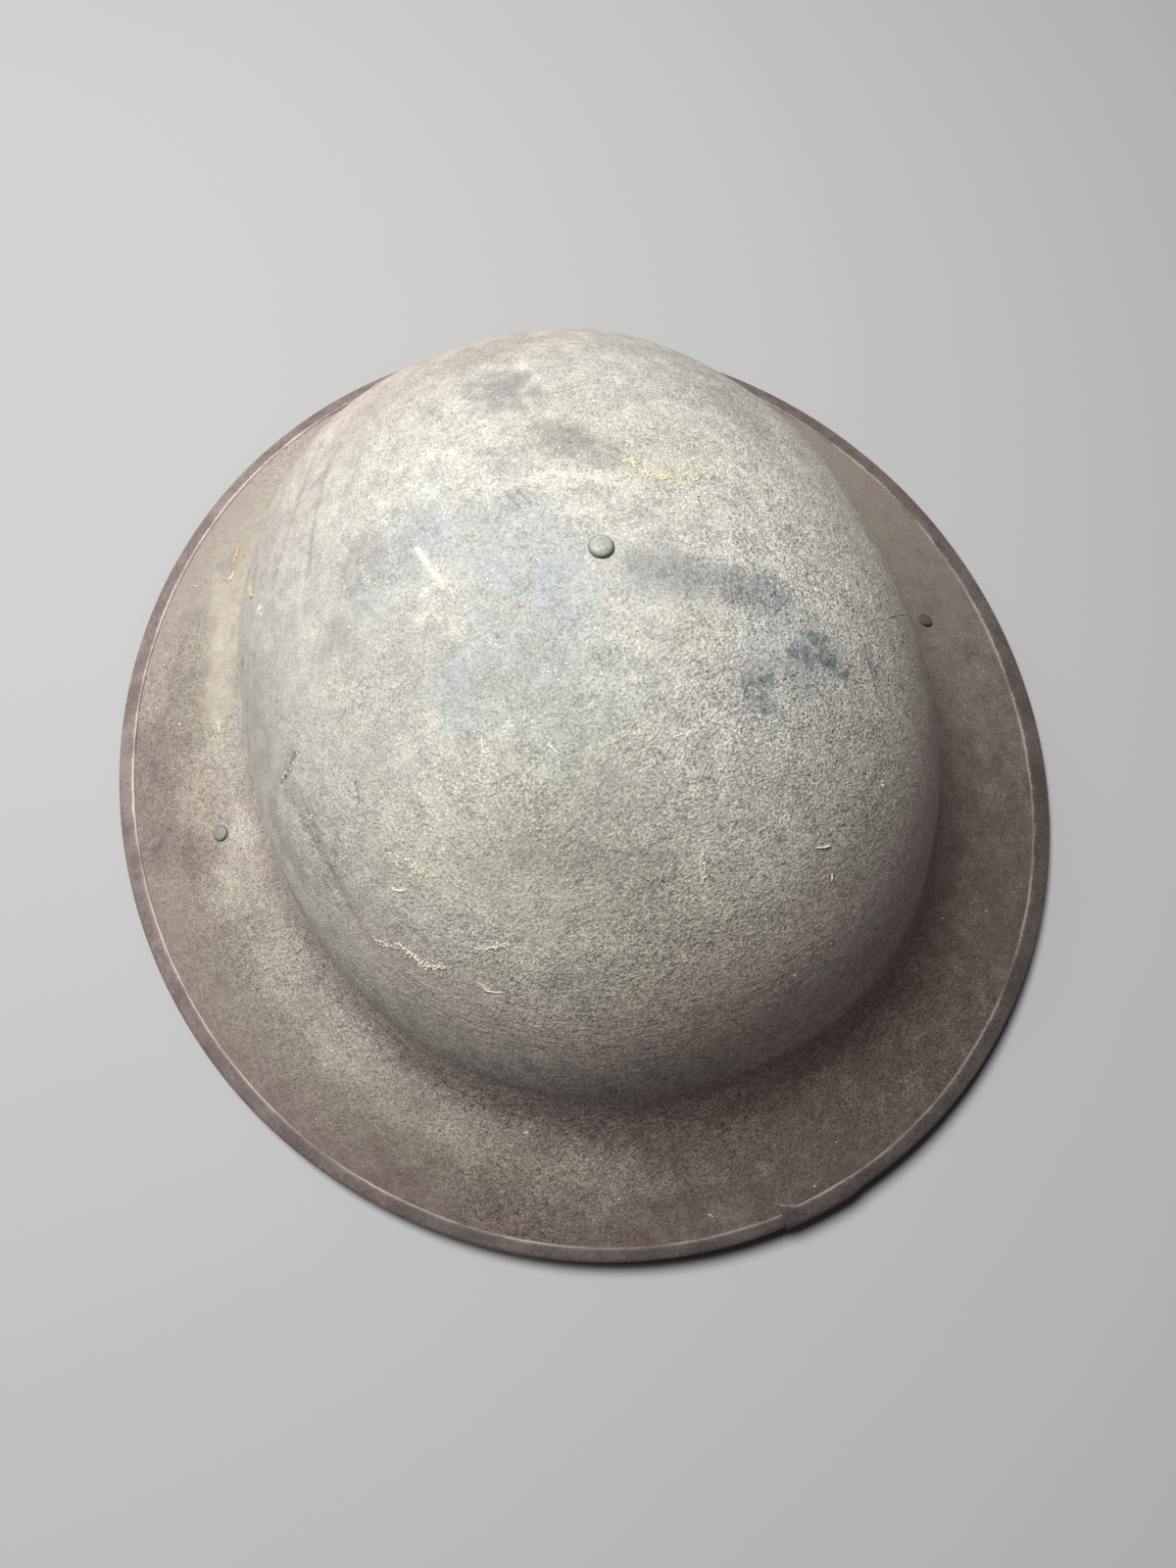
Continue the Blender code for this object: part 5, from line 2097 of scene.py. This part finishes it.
@dataclass
class DomedRivet:
    """A domed rivet, set square to the shell."""

    form: Form
    size: RivetSize
    sides: int = 48
    dome_rings: int = 24
    hammering: float = 0.00006
    roundness: float = 0.85

    @staticmethod
    def tree() -> Tree:
        """Return the node tree that makes a rivet from its sizes: a dome, a shank and a set end.

        Returns:
            The tree.
        """
        bench = ShapeBench("set_rivet", {
            "Seat": "Geometry", "Head radius": "Float", "Head height": "Float", "Shank radius": "Float",
            "Set radius": "Float", "Set height": "Float", "Sheet": "Float", "Head gap": "Float",
            "Hammering": "Float", "Roundness": "Float", "Sides": "Int", "Dome rings": "Int",
            "Paint": "Material"})
        given, here = bench.given, bench.here
        gap, set_height = given["Head gap"], given["Set height"]

        ball = bench.add("GeometryNodeMeshUVSphere", {
            "Segments": given["Sides"], "Rings": given["Dome rings"], "Radius": 1.0}).outputs[0]
        x, y, z = bench.parts(here)
        high = bench.times(bench.math("POWER", bench.math("MAXIMUM", z, 0.0), given["Roundness"]),
                           given["Head height"])
        wide = bench.joined(*(bench.times(part, given["Head radius"]) for part in (x, y)),
                            bench.sum(high, gap))
        edged = bench.stored(ball, "off_centre", bench.length(bench.flattened(here)))
        shapes = [bench.moved(edged, Position=wide)]

        inside = bench.times(bench.sum(given["Sheet"], gap), -1.0)
        for radius, depth, middle in (
                (given["Shank radius"], bench.less(gap, inside), bench.times(bench.sum(gap, inside), 0.5)),
                (given["Set radius"], set_height, bench.less(inside, bench.times(set_height, 0.5)))):
            rod = bench.add("GeometryNodeMeshCylinder", {
                "Vertices": given["Sides"], "Radius": radius, "Depth": depth}).outputs["Mesh"]
            shapes.append(bench.shifted(rod, bench.joined(0.0, 0.0, middle)))

        struck = bench.jolted(bench.together(shapes), DENT_SCALE, given["Hammering"])
        turn = bench.turned(bench.field("square", "FLOAT_VECTOR"))
        return bench.finish(bench.real(bench.copies(given["Seat"], struck, Rotation=turn)))

    def build(self, tree: Tree, paint: Material) -> Piece:
        """Make the rivet.

        Args:
            tree: The node tree that makes a rivet.
            paint: Its finish.

        Returns:
            The rivet, riding on the helmet's body in place of its CAD node.
        """
        size = self.size
        place, square = seat_at(self.form, size.x, size.y)
        seat = polyline(f"{size.node}_seat", [[place]], {"square": [square]})
        piece = grown(seat, tree, f"domed_{size.node}", SHARP_ANGLE, {
            "Head radius": size.head_radius, "Head height": size.head_height,
            "Shank radius": size.shank_radius,
            "Set radius": size.set_radius, "Set height": size.set_height, "Sheet": self.form.steel,
            "Head gap": self.form.gap, "Hammering": self.hammering, "Roundness": self.roundness,
            "Sides": self.sides, "Dome rings": self.dome_rings, "Paint": paint})
        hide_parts(size.node)
        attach(piece, "root")
        return piece


@dataclass
class SurfaceDebris:
    """Crumbs, threads and straws that lie on the shell's outer face."""

    form: Form
    crumbs: tuple[Trail, ...] = CRUST_CRUMBS
    threads: tuple[Trail, ...] = DRIED_THREADS
    straws: tuple[Trail, ...] = STRAWS
    crumb_step: float = 0.00042
    crumb_growth: float = 1.75
    crumb_flatness: float = 0.7
    thread_step: float = 0.0012
    straw_step: float = 0.00022
    straw_sunk: float = 0.15
    thread_radius: float = 0.00016
    speck_density: float = 11000.0
    speck_low: float = 0.00010
    speck_high: float = 0.00025
    seed: int = 41

    def trail_mesh(self, name: str, trails: Sequence[Trail]) -> Piece:
        """Return the lines of trails as one mesh of edges, with their numbers on its points.

        Args:
            name: The object's name.
            trails: The trails.

        Returns:
            The lines as an object of edges alone.
        """
        numbers = {label: np.array([getattr(trail, label) * scale for trail in trails for _ in trail.line])
                   for label, scale in (("stray", MM), ("size", MM), ("tint", 1.0))}
        return polyline(name, [self.form.lifted(trail.line) for trail in trails], numbers)

    @staticmethod
    def ground(bench: ShapeBench) -> list[Socket]:
        """Return the nearest place on the outer face, the ground's first material, and the normal there.

        Args:
            bench: The bench that adds the nodes.

        Returns:
            The place and the normal.
        """
        whole = bench.add("GeometryNodeObjectInfo", {"Object": bench.given["Ground"]}).outputs["Geometry"]
        outer = bench.math("LESS_THAN", bench.add("GeometryNodeInputMaterialIndex").outputs[0], 0.5)
        surface = bench.add("GeometryNodeSeparateGeometry", {"Geometry": whole, "Selection": outer},
                            domain="FACE")
        return [bench.add("GeometryNodeSampleNearestSurface", {"Mesh": surface.outputs[0], "Value": wanted},
                          data_type="FLOAT_VECTOR").outputs["Value"]
                for wanted in (bench.here, bench.add("GeometryNodeInputNormal").outputs[0])]

    def laid_points(self, bench: ShapeBench) -> tuple[Socket, Socket]:
        """Return points strayed from their trails onto the ground, and turns that set Z square to it.

        Args:
            bench: The bench that adds the nodes.

        Returns:
            The points and their turns.
        """
        curve = bench.add("GeometryNodeMeshToCurve", {"Mesh": bench.given["Trails"]}).outputs[0]
        along = bench.add("GeometryNodeCurveToPoints", {"Curve": curve, "Length": bench.given["Step"]},
                          mode="LENGTH")
        drift = bench.scaled(bench.random((-1.0, -1.0, -1.0), (1.0, 1.0, 1.0)), bench.field("stray"))
        strayed = bench.moved(along.outputs["Points"], Offset=drift)
        place, normal = self.ground(bench)
        laid = bench.moved(bench.stored(strayed, "square", normal, "FLOAT_VECTOR"), Position=place)
        spin = bench.add("FunctionNodeAxisAngleToRotation", {
            "Axis": (0.0, 0.0, 1.0), "Angle": bench.random(0.0, math.tau)}).outputs[0]
        return laid, bench.turned(bench.field("square", "FLOAT_VECTOR"), Rotation=spin)

    @staticmethod
    def finished(bench: ShapeBench, geometry: Socket) -> Tree:
        """End a tree: real geometry, knobbly, in its paint."""
        return bench.finish(bench.jolted(bench.real(geometry), KNOB_SCALE, bench.given["Knobbliness"]))

    def crumb_tree(self) -> Tree:
        """Return the tree that sows crumbs along trails.

        Returns:
            The tree.
        """
        bench = ShapeBench("sow_crumbs", {
            "Trails": "Geometry", "Ground": "Object", "Step": "Float", "Growth": "Float", "Flatness": "Float",
            "Knobbliness": "Float", "Seed": "Int", "Paint": "Material"})
        laid, turn = self.laid_points(bench)
        ball = bench.add("GeometryNodeMeshIcoSphere", {"Radius": 0.5, "Subdivisions": 2}).outputs[0]
        shape = bench.random((0.6, 0.6, 0.5), (1.7, 1.2, 1.1))
        size = bench.times(bench.field("size"), bench.given["Growth"])
        size = bench.times(size, bench.random(0.45, 1.0))
        shape = bench.vector("MULTIPLY", shape, bench.joined(1.0, 1.0, bench.given["Flatness"]))
        shape = bench.scaled(shape, size)
        return self.finished(bench, bench.copies(laid, ball, Rotation=turn, Scale=shape))

    def speck_tree(self) -> Tree:
        """Return the tree that scatters pale specks over the ground, where its specks attribute says.

        Returns:
            The tree.
        """
        bench = ShapeBench("scatter_specks", {
            "Start": "Geometry", "Ground": "Object", "Density": "Float", "Smallest": "Float",
            "Largest": "Float", "Knobbliness": "Float", "Seed": "Int", "Paint": "Material"})
        given = bench.given
        sown = bench.add("GeometryNodeDistributePointsOnFaces", {
            "Mesh": bench.add("GeometryNodeObjectInfo", {"Object": given["Ground"]}).outputs["Geometry"],
            "Density": bench.times(bench.field("specks"), given["Density"]), "Seed": given["Seed"]}).outputs
        tinted = bench.stored(sown["Points"], "tint", bench.random(0.0, 0.3))
        ball = bench.add("GeometryNodeMeshIcoSphere", {"Radius": 1.0, "Subdivisions": 1}).outputs[0]
        shape = bench.scaled(bench.random((0.6, 0.7, 0.4), (1.6, 1.1, 0.8)),
                             bench.random(given["Smallest"], given["Largest"]))
        return self.finished(bench, bench.copies(tinted, ball, Rotation=sown["Rotation"], Scale=shape))

    def thread_tree(self) -> Tree:
        """Return the tree that lays curled threads along trails, each an arc picked by chance.

        Returns:
            The tree.
        """
        bench = ShapeBench("lay_threads", {
            "Trails": "Geometry", "Ground": "Object", "Step": "Float", "Thread radius": "Float",
            "Knobbliness": "Float", "Seed": "Int", "Paint": "Material"})
        laid, turn = self.laid_points(bench)
        ring = bench.add("GeometryNodeCurvePrimitiveCircle", {
            "Resolution": 6, "Radius": bench.given["Thread radius"]}, mode="RADIUS").outputs["Curve"]
        arcs = []
        for radius, sweep in ((0.00060, 2.4), (0.00042, 4.2), (0.00095, 1.3), (0.00065, 3.3), (0.00120, 0.7)):
            arc = bench.add("GeometryNodeCurveArc", {
                "Resolution": 12, "Radius": radius, "Sweep Angle": sweep}, mode="RADIUS").outputs["Curve"]
            middle = (-radius * math.cos(sweep / 2), -radius * math.sin(sweep / 2), 0.0)
            tube = bench.shifted(bench.swept(arc, ring), middle)
            arcs.append(bench.add("GeometryNodeGeometryToInstance", {0: tube}).outputs[0])
        lean = bench.add("FunctionNodeEulerToRotation", {
            0: bench.random((-0.16, -0.16, 0.0), (0.16, 0.16, 0.0))}).outputs[0]
        turn = bench.add("FunctionNodeRotateRotation", {"Rotation": turn, "Rotate By": lean},
                         rotation_space="LOCAL").outputs[0]
        size = bench.times(bench.field("size"), bench.random(600.0, 1300.0))
        return self.finished(bench, bench.copies(laid, bench.together(arcs), Rotation=turn, Scale=size,
                                                 **{"Pick Instance": True}))

    def straw_tree(self) -> Tree:
        """Return the tree that lays a straw along each line.

        Returns:
            The tree.
        """
        bench = ShapeBench("lay_straws", {
            "Trails": "Geometry", "Ground": "Object", "Step": "Float", "Sunk": "Float",
            "Knobbliness": "Float", "Paint": "Material"})
        curve = bench.add("GeometryNodeMeshToCurve", {"Mesh": bench.given["Trails"]}).outputs[0]
        smooth = bench.add("GeometryNodeCurveSplineType", {"Curve": curve},
                           spline_type="CATMULL_ROM").outputs[0]
        even = bench.add("GeometryNodeResampleCurve", {"Curve": smooth, "Length": bench.given["Step"]},
                         mode="LENGTH").outputs[0]
        place, normal = self.ground(bench)
        lift = bench.times(bench.field("size"), bench.given["Sunk"])
        laid = bench.moved(even, Position=bench.vector("ADD", place, bench.scaled(normal, lift)))
        along = bench.add("GeometryNodeSplineParameter").outputs["Factor"]
        middle = bench.math("SINE", bench.times(bench.sum(bench.times(along, 0.9), 0.05), math.pi))
        thickness = bench.times(bench.math("SQRT", middle), bench.field("size"))
        sized = bench.add("GeometryNodeSetCurveRadius", {"Curve": laid, "Radius": thickness}).outputs[0]
        ring = bench.add("GeometryNodeCurvePrimitiveCircle", {"Resolution": 8, "Radius": 0.5}, mode="RADIUS")
        return self.finished(bench, bench.swept(sized, ring.outputs["Curve"], Scale=thickness))

    def build(self, ground: Piece, paint: Material) -> list[Piece]:
        """Make the debris.

        Args:
            ground: The shell that it lies on.
            paint: Its finish.

        Returns:
            One piece each of crumbs, specks, threads and straws.
        """
        start = polyline("speck_start", [[(0.0, 0.0, 0.0)]], {})
        plans = (
            ("crust_crumbs", self.trail_mesh("crumb_trails", self.crumbs), self.crumb_tree(), 0.00030,
             {"Step": self.crumb_step, "Growth": self.crumb_growth, "Flatness": self.crumb_flatness}),
            ("pale_specks", start, self.speck_tree(), 0.00008,
             {"Density": self.speck_density, "Smallest": self.speck_low, "Largest": self.speck_high}),
            ("dried_threads", self.trail_mesh("thread_trails", self.threads), self.thread_tree(), 0.00030,
             {"Step": self.thread_step, "Thread radius": self.thread_radius}),
            ("dried_straws", self.trail_mesh("straw_lines", self.straws), self.straw_tree(), 0.00022,
             {"Step": self.straw_step, "Sunk": self.straw_sunk}),
        )
        pieces = []
        for name, carrier, tree, knobbliness, inputs in plans:
            piece = grown(carrier, tree, name, NO_SHARP_EDGES, {
                **inputs, "Knobbliness": knobbliness, "Ground": ground, "Seed": self.seed, "Paint": paint})
            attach(piece, "root")
            pieces.append(piece)
        return pieces


@dataclass(frozen=True)
class Studio:
    """The floor, the lights and the view's colour handling."""

    floor_colour: Colour = (0.355, 0.352, 0.346)
    floor_reach: float = 1.3
    sweep_radius: float = 0.7
    wall_height: float = 1.6
    key_direction: Point = (-0.171, 0.296, 0.940)
    key_power: float = 15.8
    side_direction: Point = (-0.433, 0.250, 0.866)
    side_power: float = 5.2
    lamp_distance: float = 1.1
    lamp_size: float = 0.50
    world_colour: Colour = (1.0, 0.99, 0.97)
    world_strength: float = 0.045

    def floor(self) -> Piece:
        """Make a round floor that sweeps up into a wall.

        Returns:
            The floor.
        """
        sides, bends, rings = 96, 16, 4
        profile = [(self.floor_reach * i / rings, 0.0) for i in range(1, rings + 1)]
        for i in range(1, bends + 1):
            angle = math.pi / 2 * i / bends
            profile.append((self.floor_reach + self.sweep_radius * math.sin(angle),
                            self.sweep_radius * (1 - math.cos(angle))))
        profile.append((profile[-1][0], self.wall_height))
        points = [(0.0, 0.0, 0.0)]
        for radius, high in profile:
            points += [(radius * math.cos(math.tau * j / sides), radius * math.sin(math.tau * j / sides),
                        high) for j in range(sides)]
        piece = piece_from("studio_floor", np.array(points), weave([sides] * len(profile)),
                           (self.floor_material(),))
        return piece

    def floor_material(self) -> Material:
        """Return the floor's plain pale finish.

        Returns:
            The finished material.
        """
        bench = PaintBench("pale_floor")
        shade = tuple(channel * 0.97 for channel in self.floor_colour)
        return bench.finish(bench.blend(bench.noise(bench.place, 3.0), shade, self.floor_colour), 0.95)

    def lamp(self, name: str, direction: Point, power: float) -> None:
        """Hang a round soft light that faces the helmet.

        Args:
            name: The light's name.
            direction: Where it hangs, seen from the helmet.
            power: Its power, in watts.
        """
        light = bpy.data.lights.new(name, "AREA")
        light.shape = "DISK"
        light.size = self.lamp_size
        light.energy = power
        lamp = placed(name, light)
        away = Vector(direction).normalized()
        lamp.location = away * self.lamp_distance
        lamp.rotation_euler = away.to_track_quat("Z", "Y").to_euler()

    def build(self) -> None:
        """Make the floor and the lights."""
        self.floor()
        self.lamp("key_light", self.key_direction, self.key_power)
        self.lamp("side_light", self.side_direction, self.side_power)
        world = bpy.data.worlds.new("studio")
        world.use_nodes = True
        NodeBench(world.node_tree).feed(world.node_tree.nodes["Background"], {
            "Color": rgba(self.world_colour), "Strength": self.world_strength})
        scene = bpy.context.scene
        scene.world = world
        scene.view_settings.view_transform = "Standard"
        scene.view_settings.look = "None"


@dataclass(frozen=True)
class PhotoCamera:
    """The camera at the photograph's angle."""

    stand: float
    azimuth: float = math.radians(-20.513)
    elevation: float = math.radians(68.30)
    roll: float = math.radians(1.691)
    distance: float = 0.324225
    aside: float = 0.00123
    raised: float = -0.036743
    aim_height: float = 0.040
    focal_pixels: float = 1204.58
    frame_pixels: float = 1600.0
    sensor: float = 36.0

    def build(self) -> Piece:
        """Make the camera and put it in charge.

        Returns:
            The camera.
        """
        a, e = self.azimuth, self.elevation
        back = Vector((math.sin(a) * math.cos(e), -math.cos(a) * math.cos(e), math.sin(e)))
        level = Vector((math.cos(a), math.sin(a), 0.0))
        steep = back.cross(level)
        right = level * math.cos(self.roll) + steep * math.sin(self.roll)
        up = steep * math.cos(self.roll) - level * math.sin(self.roll)
        lens = bpy.data.cameras.new("photo_camera")
        lens.sensor_width = self.sensor
        lens.lens = self.focal_pixels / self.frame_pixels * self.sensor
        lens.clip_start, lens.clip_end = 0.01, 50.0
        camera = placed("photo_camera", lens)
        camera.rotation_euler = Matrix((right, up, back)).transposed().to_euler()
        camera.location = (Vector((0, 0, self.aim_height + self.stand)) + back * self.distance
                           + right * self.aside + up * self.raised)
        bpy.context.scene.camera = camera
        return camera


def report(piece: Piece) -> None:
    """Log a piece's name and how many triangles it has."""
    triangles = sum(len(face.vertices) - 2 for face in piece.data.polygons)
    LOG.info("%s: %d triangles", piece.name, triangles)


def seat_at(form: Form, x: float, y: float) -> tuple[Point, Point]:
    """Find the place of the outer face above x and y, by halving the way from the crown to the rim.

    Args:
        form: The helmet's form.
        x: The place's x in plan.
        y: Its y.

    Returns:
        The place and the face's normal there.
    """
    turn = math.atan2(y / form.half_length, x / form.half_width)
    low, high = 0.0, 3.0
    target = math.hypot(x, y)
    for _ in range(50):
        middle = (low + high) / 2
        point = form.face(np.array([turn]), np.array([middle]))[0]
        turn += math.atan2(y, x) - math.atan2(point[1], point[0])
        if math.hypot(point[0], point[1]) < target:
            low = middle
        else:
            high = middle
    at = np.array([turn]), np.array([low])
    return tuple(form.face(*at)[0].tolist()), tuple(form.outward(*at)[0].tolist())


def main() -> None:
    """Dress the frame."""
    logging.basicConfig(level=logging.INFO, format="%(name)s: %(message)s")
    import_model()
    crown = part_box("helmet_shell")[1][2]
    form = Form(stand=crown - Form(stand=0.0).height)
    LOG.info("the foot stands %.3f mm above the floor", form.stand / MM)

    shell = HelmetShell(form).build(DrabPaint().make(), InnerPaint().make())
    report(shell)
    for piece in SurfaceDebris(form).build(shell, CrustPaint().make()):
        report(piece)
    report(RimEdging(form).build(RimPaint().make()))
    rivet_tree = DomedRivet.tree()
    for size in RIVETS:
        report(DomedRivet(form, size).build(rivet_tree, size.paint.make()))

    Studio().build()
    PhotoCamera(form.stand).build()


if __name__ == "__main__":
    main()
